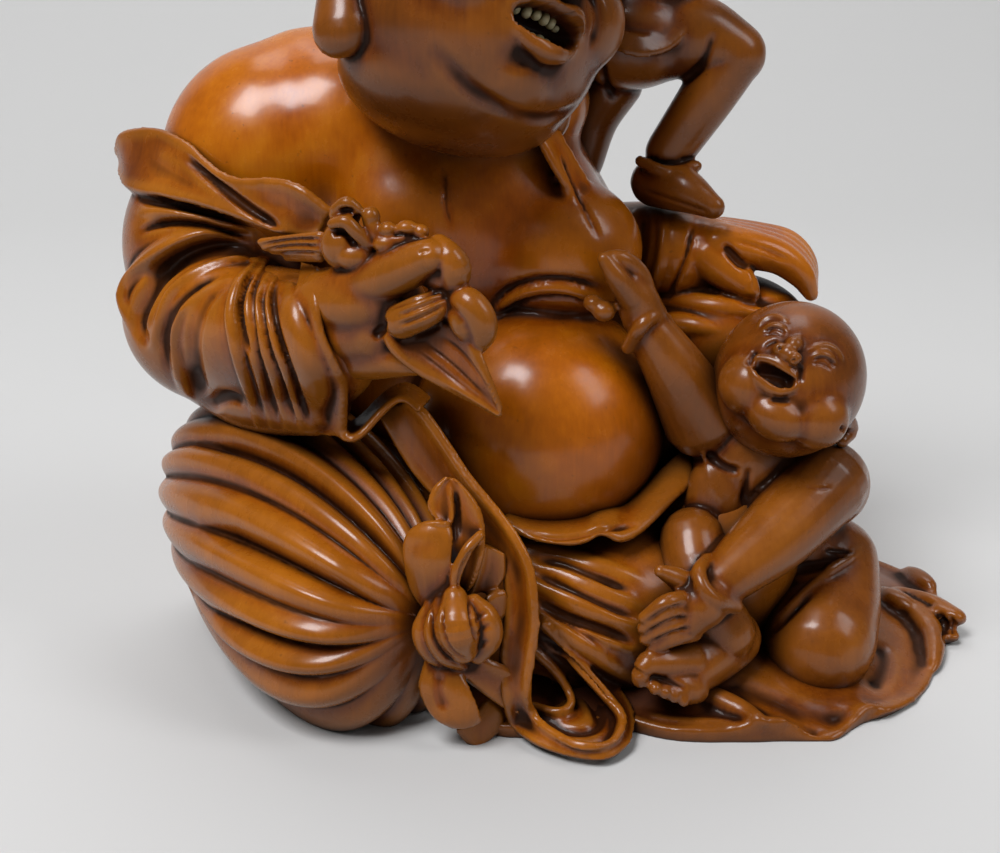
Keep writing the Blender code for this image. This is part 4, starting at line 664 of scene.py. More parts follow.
SLEEVE_LINES = [
    ([(186, 158), (204, 174), (232, 196), (256, 213), (282, 230)], 1.5, -1.7),
    ([(150, 150), (190, 170), (220, 190)], 3.0, 0.5),
    ([(137, 199), (175, 205), (220, 215), (258, 227), (282, 234)], 1.5, -2.2),
    ([(137, 212), (175, 212), (220, 221), (256, 231)], 2.0, 1.0),
    ([(138, 233), (154, 225), (183, 222), (220, 228), (252, 236)], 1.4, -2.0),
    ([(131, 332), (125, 298), (140, 268), (175, 244), (215, 233), (258, 236)], 3.0, 2.2),
    ([(147, 348), (137, 322), (150, 288), (176, 258), (215, 242), (254, 240)], 3.4, -3.4),
    ([(150, 352), (160, 321), (171, 294), (197, 273), (230, 262), (268, 261)], 2.2, 1.4),
    ([(168, 372), (168, 335), (180, 305), (204, 281), (232, 272)], 2.2, -1.0),
    ([(189, 404), (180, 375), (174, 345), (179, 315), (197, 291)], 2.4, 1.3),
    ([(203, 412), (197, 372), (194, 335), (206, 300), (230, 278)], 3.0, -1.0),
    ([(262, 422), (254, 400), (240, 362), (232, 326), (233, 303), (243, 278), (264, 262)], 2.2, 1.4),
    ([(261, 261), (246, 284), (241, 309), (245, 339), (250, 356)], 1.2, -1.5),
    ([(270, 264), (256, 284), (252, 309), (258, 346), (267, 380), (279, 424)], 1.0, -0.9),
    ([(279, 268), (265, 289), (262, 309), (270, 346), (283, 382), (297, 428)], 1.0, -0.9),
    ([(286, 269), (275, 286), (273, 308), (280, 340), (293, 374), (310, 428)], 1.1, -1.2),
    ([(206, 408), (228, 396), (244, 402)], 2.6, -1.2),
    ([(327, 286), (324, 305), (328, 332), (338, 356)], 0.8, -0.7),
    ([(298, 276), (294, 300), (304, 345), (320, 388)], 3.4, 0.5),
]
finish_piece(sleeve, "right_sleeve", 0.55, 3, amber, SLEEVE_LINES)

# The right hand holds a whisk: a little carved beast's head over the thumb, a bound handle across
# the palm and a pointed leaf below it.
hand = Wood()
WRIST_AND_FIRST_FINGERS = [
    ([(262, 318, -22), (330, 325, -36), (374, 324, -43)], [12, 10.8, 9.2]),
    ([(330, 302, -41), (362, 300, -46), (388, 294, -48)], [7.4, 7.2, 5.2]),
    ([(345, 354, -41), (382, 356, -46), (416, 366, -50)], [5.4, 5.0, 2.2]),
    ([(338, 291, -43), (370, 281, -48), (404, 268, -52), (430, 256, -55)], [5.2, 5.4, 4.8, 3.6]),
]
PALM = (388, 312, -45)
hand.limbs(WRIST_AND_FIRST_FINGERS)
hand.ball(at(*PALM), (8.6, 7, 9.5))
hand.settle(0.7, 9)
FINGER_TIPS_AND_BEAST = [
    ([(439, 246, -53), (449, 257, -55), (455, 270, -55), (452, 286, -54)], [2.4, 3.0, 3.4, 2.8]),
    ([(428, 264, -51), (444, 276, -53)], [4.2, 3.8]),
    ([(455, 298, -54), (468, 302, -57), (479, 316, -58), (483, 332, -58), (476, 349, -57)],
     [2.6, 3.0, 3.2, 2.9, 1.7]),
    ([(456, 304, -54), (467, 322, -56.5), (473, 340, -56)], [2.8, 3.5, 2.6]),
    ([(336, 209, -48), (347, 203, -49), (357, 209, -49)], [1.2, 1.4, 1.2]),
    ([(333, 224, -50), (346, 222, -51), (356, 232, -51), (368, 244, -50)], [1.2, 1.4, 1.5, 1.4]),
    ([(371, 222, -49), (378, 234, -50)], [1.7, 1.6]),
]
HANDLE_AND_BEAST_HEAD = [
    ((381, 334, -47), (4.4, 4.4, 5.4)),
    ((344, 244, -47), (4.6, 4.2, 5.2), (0, 20, 0)),
    ((356, 256, -49), (4.2, 3.2, 3.0)),
    ((345, 214, -47), (3.3, 2.8, 2.8)),
    ((371, 217, -49), (1.9, 1.9, 2.1)),
]
hand.limbs(FINGER_TIPS_AND_BEAST)
hand.balls(HANDLE_AND_BEAST_HEAD)
BEAST_CURLS = [
    ((407, 228, -51), (2.2, 1.8, 1.6)),
    ((421, 232, -51), (1.7, 1.6, 1.6)),
    ((400, 239, -51), (3.2, 1.8, 1.5)),
    ((388, 229, -51), (1.7, 1.6, 1.5)),
    ((414, 241, -51), (2.4, 1.6, 1.2)),
    ((388, 244, -51), (3, 2, 2)),
]
hand.balls(BEAST_CURLS)
WHISK_HAIRS = [
    ((262, 242, -36), (320, 236, -45), 1.3),
    ((266, 247, -36), (320, 243, -45), 1.4),
    ((274, 250, -36), (320, 250, -45), 1.5),
    ((288, 257, -37), (320, 257, -44), 1.4),
]
for tip, root, thick in WHISK_HAIRS:
    hand.limb(seen([tip, root]), [thick * 0.8, thick], 0.8)
LEAF_STALK_AND_RIB = [
    ([(402, 321, -54), (424, 311, -56), (444, 302, -54)], [3.6, 3.5, 2.8]),
    ([(390, 310, -50), (391, 340, -52), (414, 365, -54), (455, 389, -57), (500, 414, -60)],
     [1.3, 1.4, 1.3, 1.1, 0.6]),
]
LEAF_NEAR = [(412, 332, -54), (441, 323, -54), (470, 343, -58), (486, 374, -60), (501, 412, -60)]
LEAF_FAR = [(394, 344, -52), (414, 363, -54), (440, 379, -56), (470, 396, -59), (500, 414, -60)]
hand.limbs(LEAF_STALK_AND_RIB)
hand.ribbon(seen(LEAF_NEAR), seen(LEAF_FAR), 2.4, 0.9)
HAND_LINES = [
    ([(332, 234), (341, 229), (350, 237), (355, 246)], 1.1, -1.4),
    ([(340, 212), (348, 208), (354, 213)], 0.8, -0.7),
    ([(262, 245), (290, 240), (320, 239)], 0.6, -0.8),
    ([(266, 250), (292, 246), (320, 246)], 0.6, -0.8),
    ([(278, 254), (300, 253), (321, 253)], 0.6, -0.8),
    ([(392, 236), (400, 233), (410, 236)], 0.6, -0.5),
    ([(395, 317), (421, 307), (447, 296)], 0.7, -0.7),
    ([(398, 326), (424, 316), (446, 304)], 0.7, -0.7),
    ([(390, 309), (416, 299), (444, 289)], 0.7, -0.6),
    ([(412, 337), (428, 331), (440, 325)], 0.9, -0.9),
    ([(428, 344), (455, 366), (488, 398)], 0.5, -0.3),
    ([(418, 350), (448, 374), (484, 402)], 0.5, -0.3),
    ([(442, 336), (464, 354), (490, 392)], 0.5, -0.3),
    ([(372, 338), (384, 328), (386, 318)], 1.4, -1.0),
    ([(418, 254), (424, 250), (430, 252)], 0.6, -0.3),
]
finish_piece(hand, "right_hand_and_whisk", 0.4, 2, amber, HAND_LINES)

# The left sleeve, the hand laid over the raised knee, and the robe stretched over that knee.
arm = Wood()
FOREARM = [(590, 256, 14), (640, 250, 9), (682, 256, 5)]
arm.limb(seen(FOREARM), [12.4, 11.8, 11.2])
arm.limb([(16, 16, 80), (32, 15, 78), (46, 12, 80)], [14, 12.5, 10])
arm.ball((54, 3, 73), (21, 17, 14.5))
arm.ball((54, 6, 50), (21, 19, 28))
arm.ball((34, -2, 60), (16, 16, 20))
arm.settle(0.9, 12)
CUFF_HAND_AND_THUMB = [
    ([(677, 256, 5), (684, 258, 5)], [11.8, 11.8]),
    ([(684, 247, 4), (708, 248, 1), (732, 250, 0)], [6.8, 7.4, 6.0]),
    ([(706, 256, -2), (730, 274, -5), (745, 287, -7), (751, 300, -8)], [5.6, 4.6, 3.4, 2.2]),
]
arm.limbs(CUFF_HAND_AND_THUMB)
# The nearest finger's places, the step in pixels to the next one behind it, and the depths.
FINGER = [(718, 244, 1), (752, 250, 0), (780, 258, 0), (801, 275, 0), (811, 294, 0)]
FINGER_STEP = [(1, -2), (2, -3), (2, -4), (1, -4), (0, -2)]
FINGERS, FINGER_DEEP, FINGER_APART = 4, -3, 3.4
for i in range(FINGERS):
    back = FINGER_DEEP + i * FINGER_APART
    path = [(u + i * du, v + i * dv, back + deep) for (u, v, deep), (du, dv) in zip(FINGER, FINGER_STEP)]
    arm.limb(seen(path), [5.2, 4.6, 4.0, 3.2, 1.8])
KNEE_FOLDS = [
    ([(628, 312), (672, 300), (728, 306), (790, 318)], 3.0, 0.5),
    ([(632, 340), (668, 322), (716, 330)], 3.2, 0.5),
    ([(640, 372), (664, 350), (692, 350)], 2.6, 0.5),
]
arm.folds(KNEE_FOLDS)
ARM_LINES = [
    ([(644, 206), (640, 248), (630, 292)], 2.4, -0.9),
    ([(664, 210), (662, 250), (652, 296)], 1.8, 0.8),
    ([(618, 210), (614, 240), (612, 262)], 2.2, -0.9),
    ([(693, 224), (684, 262), (667, 300)], 1.0, -0.9),
    ([(740, 300), (765, 303), (795, 300)], 2.0, -0.8),
    ([(738, 266), (745, 270), (751, 280), (748, 288)], 1.0, 0.5),
    ([(722, 242), (738, 262), (748, 272)], 1.6, -1.0),
    ([(733, 240), (760, 248), (790, 262)], 1.0, -0.5),
]
finish_piece(arm, "left_arm_and_knee", 0.6, 3, rubbed, ARM_LINES)

# The robe over the lap: its hem lies under the belly, its pleats run down to the cloth, and a wide
# plain border sweeps from the sleeve past the sack and doubles back on the ground in a loop.
lap = Wood()
lap.ball((4, -8, 20), (60, 44, 25))
lap.ball((22, -30, 18), (30, 25, 21))
lap.ball((52, -20, 26), (20, 20, 24))
KNEE_BUMP = (688, 540, -29)
lap.ball(at(*KNEE_BUMP), (7.5, 6, 8))
lap.settle(1.0, 14)
LAP_FOLDS = [
    ([(508, 544), (530, 547), (556, 552), (590, 563), (640, 578)], 3.6, 0.42),
    ([(516, 558), (540, 565), (566, 574), (600, 590), (642, 608)], 3.0, 0.5),
    ([(524, 578), (545, 588), (575, 600), (604, 613), (642, 628)], 3.0, 0.55),
    ([(556, 622), (584, 632), (612, 642), (640, 652)], 2.0, 0.5),
    ([(530, 606), (548, 618), (572, 636), (600, 658), (634, 682)], 3.2, 0.5),
]
lap.folds(LAP_FOLDS)
lap.settle(0.7, 2)
HEM_NEAR = [(503, 521, -42), (520, 531, -45), (540, 538, -47), (571, 542, -48), (588, 538, -47),
            (597, 532, -46), (607, 533, -46), (619, 539, -46), (633, 535, -44), (650, 522, -40),
            (672, 500, -34), (694, 480, -28)]
HEM_FAR = [(508, 508, -33), (525, 516, -35), (545, 521, -37), (570, 522, -38), (588, 518, -37),
           (600, 513, -36), (612, 511, -35), (624, 508, -33), (636, 498, -30), (650, 484, -27),
           (668, 466, -23), (690, 448, -18)]
lap.ribbon(seen(HEM_NEAR), seen(HEM_FAR), 2.2, 0.6)
BORDER_RIM = [at(408, 400, -38), at(424, 413, -41), at(448, 447, -45), at(468, 477, -49), at(500, 516, -54),
              at(519, 544, -57), at(530, 570, -59), at(534, 600, -61), at(535, 628, -62), at(531, 658, -63),
              at(527, 691, -64), low(533, 713, 7), low(549, 730, 5.4), low(575, 744, 5), low(597, 746, 5),
              low(613, 740, 5), low(621, 727, 6), low(620, 713, 7), low(604, 693, 10), low(579, 665, 15),
              low(558, 640, 20), at(541, 622, -54)]
BORDER_FOOT = [at(380, 408, -32), at(392, 432, -35), at(414, 468, -39), at(440, 498, -44), at(472, 528, -50),
               at(494, 552, -54), at(506, 574, -56), at(508, 602, -58), at(507, 628, -59), at(503, 662, -61),
               at(506, 698, -63), low(514, 724, 3), low(538, 742, 2.4), low(572, 753, 2.4),
               low(604, 756, 2.4), low(624, 744, 2.6), low(630, 726, 3), low(628, 708, 4),
               low(612, 686, 7), low(586, 658, 12), low(563, 633, 18), at(546, 616, -51)]
lap.ribbon(BORDER_RIM, BORDER_FOOT, 2.6, 1.1)
LOOP_FLOORS = [((574, 716, 2.2), (13, 12, 2.6)), ((590, 732, 1.8), (8, 7, 2.2))]
INNER_LOOP = [(532, 650, 17), (552, 668, 13), (567, 688, 8.6), (571, 704, 6.4), (558, 712, 5.6),
              (532, 706, 5.6)]
for place, half in LOOP_FLOORS:
    lap.ball(low(*place), half)
lap.limb([low(*place) for place in INNER_LOOP], 1.1)
LAP_LINES = [
    ([(526, 560), (560, 563), (596, 577), (630, 592)], 1.4, -0.9),
    ([(534, 574), (570, 589), (606, 606), (640, 620)], 1.3, -1.1),
    ([(536, 602), (570, 619), (606, 632), (636, 645)], 1.5, -1.5),
    ([(545, 610), (580, 632), (604, 648)], 1.0, -0.9),
    ([(538, 630), (570, 661), (594, 681), (620, 704)], 1.3, -1.6),
    ([(538, 676), (546, 688), (552, 698), (542, 701)], 3.4, -3.6),
    ([(550, 650), (576, 676), (594, 704), (600, 724), (584, 732), (560, 728), (540, 718)], 1.8, -1.2),
    ([(520, 530), (560, 538), (604, 530), (640, 524)], 1.2, -0.9),
]
finish_piece(lap, "front_robe", 0.6, 3, amber, LAP_LINES)

# The cloth that everything sits on, left as a thin slab with a slack, rising and falling edge.
# The front edge as it is seen, with the height of its lip in millimetres, and then the back edge.
CLOTH_FRONT = [(627, 731, 3.6), (666, 740, 3.0), (700, 743, 3.4), (730, 743, 3.6), (757, 743, 5.4),
               (781, 742, 5.6), (800, 742, 3.8), (818, 742, 1.5), (836, 741, 1.2), (852, 731, 2.4),
               (868, 722, 4.0), (888, 717, 2.6), (912, 703, 1.6), (928, 688, 1.4), (936, 664, 1.8),
               (940, 648, 3.0)]
CLOTH_BACK = [(108, -14, 4.5), (112, 2, 5), (106, 16, 4), (94, 27, 4), (70, 36, 4), (30, 41, 4),
              (-20, 41, 4), (-56, 30, 4), (-46, 0, 3), (-24, -38, 3), (-2, -60, 3)]
# Each ring of the cloth, from its foot to its middle: the share of the edge's reach, its height and
# how much of the lip it keeps.
CLOTH_RINGS = [(0.985, -2, 0), (1, 0.2, 0), (1.004, 0.3, 0.75), (1, 0, 1), (0.985, 0.2, 1), (0.96, 0.6, 0.75),
               (0.92, 2.2, 0.4), (0.85, 4.6, 0.1), (0.7, 8, 0), (0.5, 11, 0), (0.3, 12, 0)]
cloth = Wood()
front = [(*low(u, v, 0)[:2], lip) for u, v, lip in CLOTH_FRONT]
edge = smooth_path([*front, *CLOTH_BACK, front[0]], 1.2)[:-1]
centre = Vector((*np.mean(edge, axis=0)[:2], 0))
rings = []
for share, ground, lip_share in CLOTH_RINGS:
    ring = []
    for x, y, lip in edge:
        out = (Vector((x, y, 0)) - centre) * share
        ring.append(centre + out + Vector((0, 0, ground + lip_share * lip)))
    rings.append(ring)
cloth.loft(rings)
CLOTH_CORNERS = [
    ([(900, 600, -4), (930, 606, -10), (954, 616, -16)], [5, 4.4, 3.2], 0.7),
    ([(905, 640, -10), (930, 636, -16), (950, 636, -19)], [5, 4.0, 2.4], 0.7),
]
cloth.limbs(CLOTH_CORNERS)
CLOTH_FOLDS = [
    ([(872, 556), (908, 572), (940, 594), (958, 610)], 2.6, 0.5),
    ([(880, 590), (912, 612), (932, 636), (934, 668)], 3.4, 0.4),
    ([(694, 688), (716, 698), (742, 711), (764, 722)], 2.6, 0.25),
]
cloth.folds(CLOTH_FOLDS)
CLOTH_LINES = [
    ([(709, 678), (744, 688), (790, 706), (836, 718), (860, 714)], 3.8, -0.9),
    ([(784, 722), (802, 729), (824, 735)], 2.2, -0.6),
    ([(872, 640), (884, 652), (882, 672), (868, 690)], 3.6, -1.2),
    ([(886, 604), (908, 624), (918, 652), (906, 684)], 3.6, -0.35),
    ([(884, 580), (912, 592), (936, 606)], 2.0, -1.4),
    ([(938, 612), (945, 626), (944, 642)], 1.4, -1.6),
    ([(950, 614), (954, 626), (952, 636)], 1.0, -1.0),
    ([(864, 722), (882, 712), (900, 706), (926, 690)], 1.0, 0.8),
    ([(640, 712), (668, 720), (706, 722), (740, 724)], 2.0, 0.8),
]
finish_piece(cloth, "base_cloth", 0.75, 3, brown, CLOTH_LINES)

# The sack: a full cloth bag drawn together at its mouth.  Wide folds run from the knot round its
# side, parted by a few deep cuts that die away before the far end; even pleats go down its back.
SACK_MOUTH, SACK_END = Vector((-16, -59, 26)), Vector((-72.5, 16, 29))
SACK_HALF_WIDE, SACK_HALF_HIGH = 29.5, 30.5
KNOT_AT = Vector((-13, -60, 27))
# Each fold: its angle round the knot, its height, and how far from the knot it reaches.
SACK_FOLDS = [
    (44, 1.4, 90), (52, -1.6, 50), (59, 1.2, 90), (66, -2.4, 60), (75, 1.2, 90), (81, -1.2, 55),
    (89, 1.0, 90), (96, -0.9, 62), (105, 1.6, 90), (113, -3.6, 74), (121, 1.7, 90), (130, -1.1, 90),
    (140, 1.5, 90),
    (151.5, -4.2, 58), (159, 1.3, 90), (169, -1.3, 60), (177, 1.4, 90), (185.5, -4.2, 50), (193, 1.3, 90),
    (201, -2.2, 52), (211, 1.4, 90), (223, -2.4, 44), (236, 1.3, 90), (248, -2.0, 70),
]
BACK_PLEATS, BACK_PLEAT_DEEP = 8, 1.3
for i in range(2 * BACK_PLEATS - 1):
    SACK_FOLDS.append((248 + (404 - 248) * (i + 1) / (2 * BACK_PLEATS), BACK_PLEAT_DEEP * (1, -1)[i % 2], 90))
SACK_FOLDS.append((404, 1.4, 90))


def fold_height(angle, away):
    """How far the cloth stands out at this angle round the knot, this far from it."""
    angle = (angle - 44) % 360 + 44
    for (a, low_a, reach_a), (b, low_b, reach_b) in zip(SACK_FOLDS, SACK_FOLDS[1:]):
        if angle <= b:
            break
    tall = [h * (1 if h > 0 else min(1, max(0.2, (reach + 6 - away) / 14)))
            for h, reach in ((low_a, reach_a), (low_b, reach_b))]
    share = (angle - a) / (b - a)
    if tall[0] > tall[1]:
        share, tall = 1 - share, tall[::-1]
    return (tall[0] + (tall[1] - tall[0]) * math.sin(share * math.pi / 2)) * min(1, away / 24)


sack = Wood()
sack_along = (SACK_END - SACK_MOUTH).normalized()
sack_side = sack_along.cross(Vector((0, 0, 1))).normalized()
sack_up = sack_side.cross(sack_along)
from_knot = (SACK_END - KNOT_AT).normalized()
knot_side = from_knot.cross(Vector((0, 0, 1))).normalized()
knot_up = knot_side.cross(from_knot)
rings = []
for k in range(1, 160):
    angle = math.pi * k / 160
    swell = math.sin(angle) ** 0.55
    middle = SACK_MOUTH.lerp(SACK_END, (1 - math.cos(angle)) / 2)
    ring = []
    for i in range(460):
        turn = math.tau * i / 460
        size = swell * (1 - math.cos(angle) * (0.25 * math.sin(turn) + 0.15 * math.cos(turn)))
        spot = (middle + sack_side * SACK_HALF_WIDE * size * math.cos(turn)
                + sack_up * SACK_HALF_HIGH * size * math.sin(turn))
        off = spot - KNOT_AT
        away = off.length
        across = off - from_knot * off.dot(from_knot)
        round_knot = math.degrees(math.atan2(off.dot(knot_up), off.dot(knot_side)))
        round_knot -= 0.006 * max(0, away - 25) ** 2 * (math.sin(math.radians(round_knot)) > -0.3)
        ring.append(spot + across.normalized() * fold_height(round_knot, away))
    rings.append(ring)
sack.loft(rings)
finish_piece(sack, "sack", 0, 0, amber, [])

# The knot: the sack's gathered mouth wrapped round itself, with two leaves of cloth standing up
# from it and three loose ends hanging down.
knot = Wood()
KNOT_MIDDLE = (457, 630, -60)
KNOT_WRAPS = [
    ([(431, 606, -64), (424, 630, -65), (432, 650, -65), (448, 663, -63)], [1.6, 2.6, 2.6, 1.6]),
    ([(441, 602, -65), (436, 630, -68), (446, 652, -67), (462, 664, -64)], [1.6, 2.6, 2.6, 1.6]),
    ([(455, 598, -66), (457, 626, -69), (463, 648, -68)], [2.6, 4.6, 3.2]),
    ([(474, 602, -65), (487, 618, -66), (489, 638, -66), (478, 656, -65)], [1.8, 2.6, 2.8, 1.8]),
    ([(480, 535, -62), (467, 550, -64), (457, 572, -65), (453, 594, -65)], [1.0, 1.2, 1.2, 0.9]),
]
KNOT_LEAVES = [
    ([(424, 606, -61), (413, 588, -61), (407, 564, -61), (406, 545, -60), (411, 532, -60),
     (421, 524, -59)], [(446, 602, -63), (447, 580, -64), (448, 560, -64), (449, 545, -63),
     (449, 534, -62), (447, 526, -61)], 1.8, -1.0),
    ([(448, 600, -62), (450, 560, -62), (450, 532, -61), (436, 518, -60), (431, 506, -59),
     (436, 489, -58), (448, 477, -57)], [(466, 592, -62), (475, 574, -62), (481, 555, -62),
     (482, 532, -60), (478, 511, -59), (467, 493, -58), (453, 478, -57)], 1.8, 1.2),
    ([(470, 593, -59), (478, 568, -59), (484, 544, -58)], [(488, 593, -58), (502, 575, -57),
     (502, 552, -57)], 2.0, 0.8),
    ([(486, 600, -60), (496, 594, -59), (505, 592, -58)], [(490, 620, -60), (500, 616, -59),
     (506, 610, -58)], 2.0),
    ([(428, 660, -62), (422, 684, -64), (428, 704, -65), (438, 718, -66), (453, 726, -66)],
     [(456, 666, -64), (464, 684, -66), (471, 700, -67), (476, 714, -67), (478, 722, -66)], 1.9, 0.7),
    ([(474, 658, -63), (492, 664, -63), (508, 671, -62), (522, 681, -61)], [(462, 672, -64),
     (484, 690, -63), (502, 703, -62), (518, 711, -61)], 2.2, 0.4),
    ([(458, 728, -63), (468, 740, -63), (478, 748, -63)], [(486, 700, -59), (500, 712, -59),
     (502, 728, -59)], 2.0),
]
knot.ball(at(*KNOT_MIDDLE), (9.2, 6.8, 8.2))
knot.limbs(KNOT_WRAPS)
knot.ribbons(KNOT_LEAVES)
KNOT_LINES = [
    ([(449, 483), (452, 507), (451, 524), (443, 526), (430, 521), (418, 525)], 0.8, 0.9),
    ([(454, 490), (457, 515), (456, 545)], 1.2, -0.7),
    ([(474, 548), (462, 568), (459, 590)], 0.8, -0.8),
    ([(432, 606), (432, 634), (443, 655), (460, 665)], 0.7, -1.0),
    ([(443, 604), (443, 632), (453, 652), (468, 661)], 0.7, -1.0),
    ([(469, 600), (472, 622), (477, 643)], 0.9, -1.1),
    ([(488, 611), (481, 616), (475, 624)], 0.9, -0.35),
    ([(492, 624), (484, 629), (477, 635)], 0.9, -0.35),
    ([(489, 640), (483, 644), (478, 649)], 0.9, -0.35),
    ([(440, 672), (438, 692), (446, 712)], 2.0, -0.6),
]
finish_piece(knot, "knot", 0.4, 2, amber, KNOT_LINES)

# The child that kneels in front: bare and plump under a tied apron, one hand on the ground and one
# reaching up to the great chest, with a ring at each wrist.
child = Wood()
child.ball((63, -21, 42), (15, 13, 20), (0, 14, 0))
child.ball((58, -22, 30), (14, 13, 16))
child.ball((56, -24, 50), (12, 10, 14))
CHILD_SHOULDER = (824, 484, -25)
child.ball(at(*CHILD_SHOULDER), (10.5, 10, 10.5))
child.ball((70, -17, 27), (14, 14, 15))
APRON = (718, 506, -29)
CHILD_THIGH = [(832, 562, -20), (828, 602, -28), (819, 640, -37)]
child.ball(at(*APRON), (8.5, 6, 13))
child.limb(seen(CHILD_THIGH), [11, 12.2, 13])
child.settle(0.8, 10)
PROP_ARM_RING_HAND_THUMB = [
    ([(824, 482, -29), (776, 534, -40), (720, 582, -50)], [10.0, 8.4, 5.8]),
    ([(708, 560, -48), (699, 571, -54), (704, 588, -57.5), (718, 602, -58), (736, 607, -53)], 1.6),
    ([(716, 590, -51), (699, 602, -54), (688, 614, -55)], [5.4, 6.2, 5.4]),
    ([(690, 587, -52), (674, 577, -54), (660, 571, -55)], [3, 2.3, 1.4]),
]
child.limbs(PROP_ARM_RING_HAND_THUMB)
CHILD_FINGERS = [
    ((684, 599), (666, 603), (644, 618)),
    ((690, 611), (668, 614), (643, 628)),
    ((694, 622), (672, 626), (645, 639)),
    ((694, 633), (676, 637), (653, 648)),
]
for k, (knuckle, bend, tip) in enumerate(CHILD_FINGERS):
    child.limb([at(*knuckle, -57), at(*bend, -60 + k * 0.3), at(*tip, -60 + k * 0.3)], [1.9, 1.9, 1.4])
BENT_LEG_AND_BIG_TOE = [
    ([(692, 540, -37), (697, 572, -42), (708, 604, -46), (724, 632, -47)], [7.4, 7.6, 6.8, 7]),
    ([(730, 638, -44), (708, 652, -48), (688, 670, -53)], [7, 7.4, 6.2]),
    ([(686, 662, -54), (664, 662, -58), (648, 663, -60)], [5, 3.6, 2.6]),
    ([(648, 663, -60), (642, 670, -61), (640, 679, -61)], [2.2, 2.2, 1.9]),
]
FOOT = (674, 681, -57)
child.limbs(BENT_LEG_AND_BIG_TOE)
child.ball(at(*FOOT), (8.2, 5, 4.2), (0, 24, 0))
SMALL_TOES, FIRST_TOE, TOE_STEP = 4, (655, 688, -62.4), (9.6, 4, 0.4)
for k in range(SMALL_TOES):
    place = [first + k * step for first, step in zip(FIRST_TOE, TOE_STEP)]
    child.ball(at(*place), (1.4 - k * 0.04, 1.7, 1.5))
RAISED_ARM_RING_HAND = [
    ([(652, 334, -29), (675, 370, -28), (702, 418, -24)], [5.4, 7, 9.2]),
    ([(666, 320, -27), (655, 316, -32), (640, 328, -34), (628, 347, -31)], 1.6),
    ([(645, 318, -29), (636, 298, -30), (628, 284, -31)], [5, 4.6, 3.6]),
    ([(632, 298, -32), (617, 278, -34), (604, 259, -34)], [3, 2.4, 1.6]),
    ([(645, 300, -28), (638, 275, -30), (623, 260, -32), (609, 257, -33)], [3, 2.5, 2.1, 1.5]),
]
TOUCHING_FINGERS = [
    ((593, 303, -31), (2.2, 2.4, 1.9)),
    ((604, 311, -32), (2.6, 2.6, 2.3)),
]
child.limbs(RAISED_ARM_RING_HAND)
child.balls(TOUCHING_FINGERS)
TIE_AND_SKIN_FOLDS = [
    ([(861, 545), (832, 571), (778, 582)], 1.3, 0.6),
    ([(861, 551), (825, 573), (776, 618), (744, 636)], 1.3, 0.6),
    ([(704, 452), (710, 480), (726, 512)], 1.1, 0.3),
]
child.folds(TIE_AND_SKIN_FOLDS)
CHILD_LINES = [
    ([(650, 676), (662, 679), (674, 684), (688, 690)], 0.9, -0.6),
    ([(646, 623), (668, 609), (684, 605)], 0.7, -0.8),
    ([(645, 634), (670, 620), (688, 617)], 0.7, -0.8),
    ([(648, 644), (674, 632), (692, 628)], 0.7, -0.8),
    ([(824, 550), (853, 552)], 0.8, -0.5),
    ([(800, 566), (830, 560), (850, 556)], 0.8, -0.5),
    ([(760, 640), (780, 625), (815, 590)], 1.4, -0.8),
    ([(706, 452), (722, 466), (742, 472)], 1.4, -1.0),
    ([(750, 466), (746, 486), (742, 506)], 1.2, -0.7),
    ([(805, 486), (820, 489), (832, 487)], 0.5, -0.25),
]
finish_piece(child, "kneeling_child", 0.55, 2, brown, CHILD_LINES)

# The kneeling child's head: shaven, thrown back and laughing up at the big figure.
CHILD_HEAD_AT, CHILD_HEAD_HALF = (63, -30, 70), (16.6, 17.4, 17.6)
child_frame = head_frame(CHILD_HEAD_AT, -14, 24, -34)
face = Wood(child_frame)
face.ball((0, 1, 2), CHILD_HEAD_HALF)
for side in (-1, 1):
    face.ball((side * 7.5, -8, -5.5), (7.4, 7, 7))
face.ball((0, -10, -10), (6.8, 5.4, 5))
face.settle(0.7, 12)
face.frame = Matrix.Identity(4)
FACE_FOLDS = [
    ([(799, 337), (794, 345), (788, 353)], 1.9, 0.9),
    ([(758, 328), (764, 319), (776, 316), (789, 322)], 0.9, 0.9),
    ([(809, 350), (822, 345), (836, 350), (843, 361)], 0.9, 0.9),
    ([(763, 330), (775, 325), (787, 332)], 1.5, 0.6),
    ([(812, 357), (824, 354), (836, 363)], 1.5, 0.6),
    ([(750, 358), (764, 358), (780, 364), (797, 380)], 1.2, 0.8),
    ([(750, 368), (766, 386), (782, 392), (797, 386)], 1.5, 0.8),
]
face.folds(FACE_FOLDS)
NOSE = [((780, 350), 1.5), ((787, 354), 2.1), ((794, 358), 1.5)]
for (u, v), size in NOSE:
    hit, normal, _, _ = BVHTree.FromBMesh(face.bm).ray_cast(EYE, sight(u, v))
    face.ball(hit + normal * size * 0.2, (size, size, size))
CHILD_EAR = [(838, 424, -33), (847, 421, -30), (850, 431, -28), (842, 441, -31)]
face.limb(seen(CHILD_EAR), [1.6, 1.9, 1.8, 1.5])
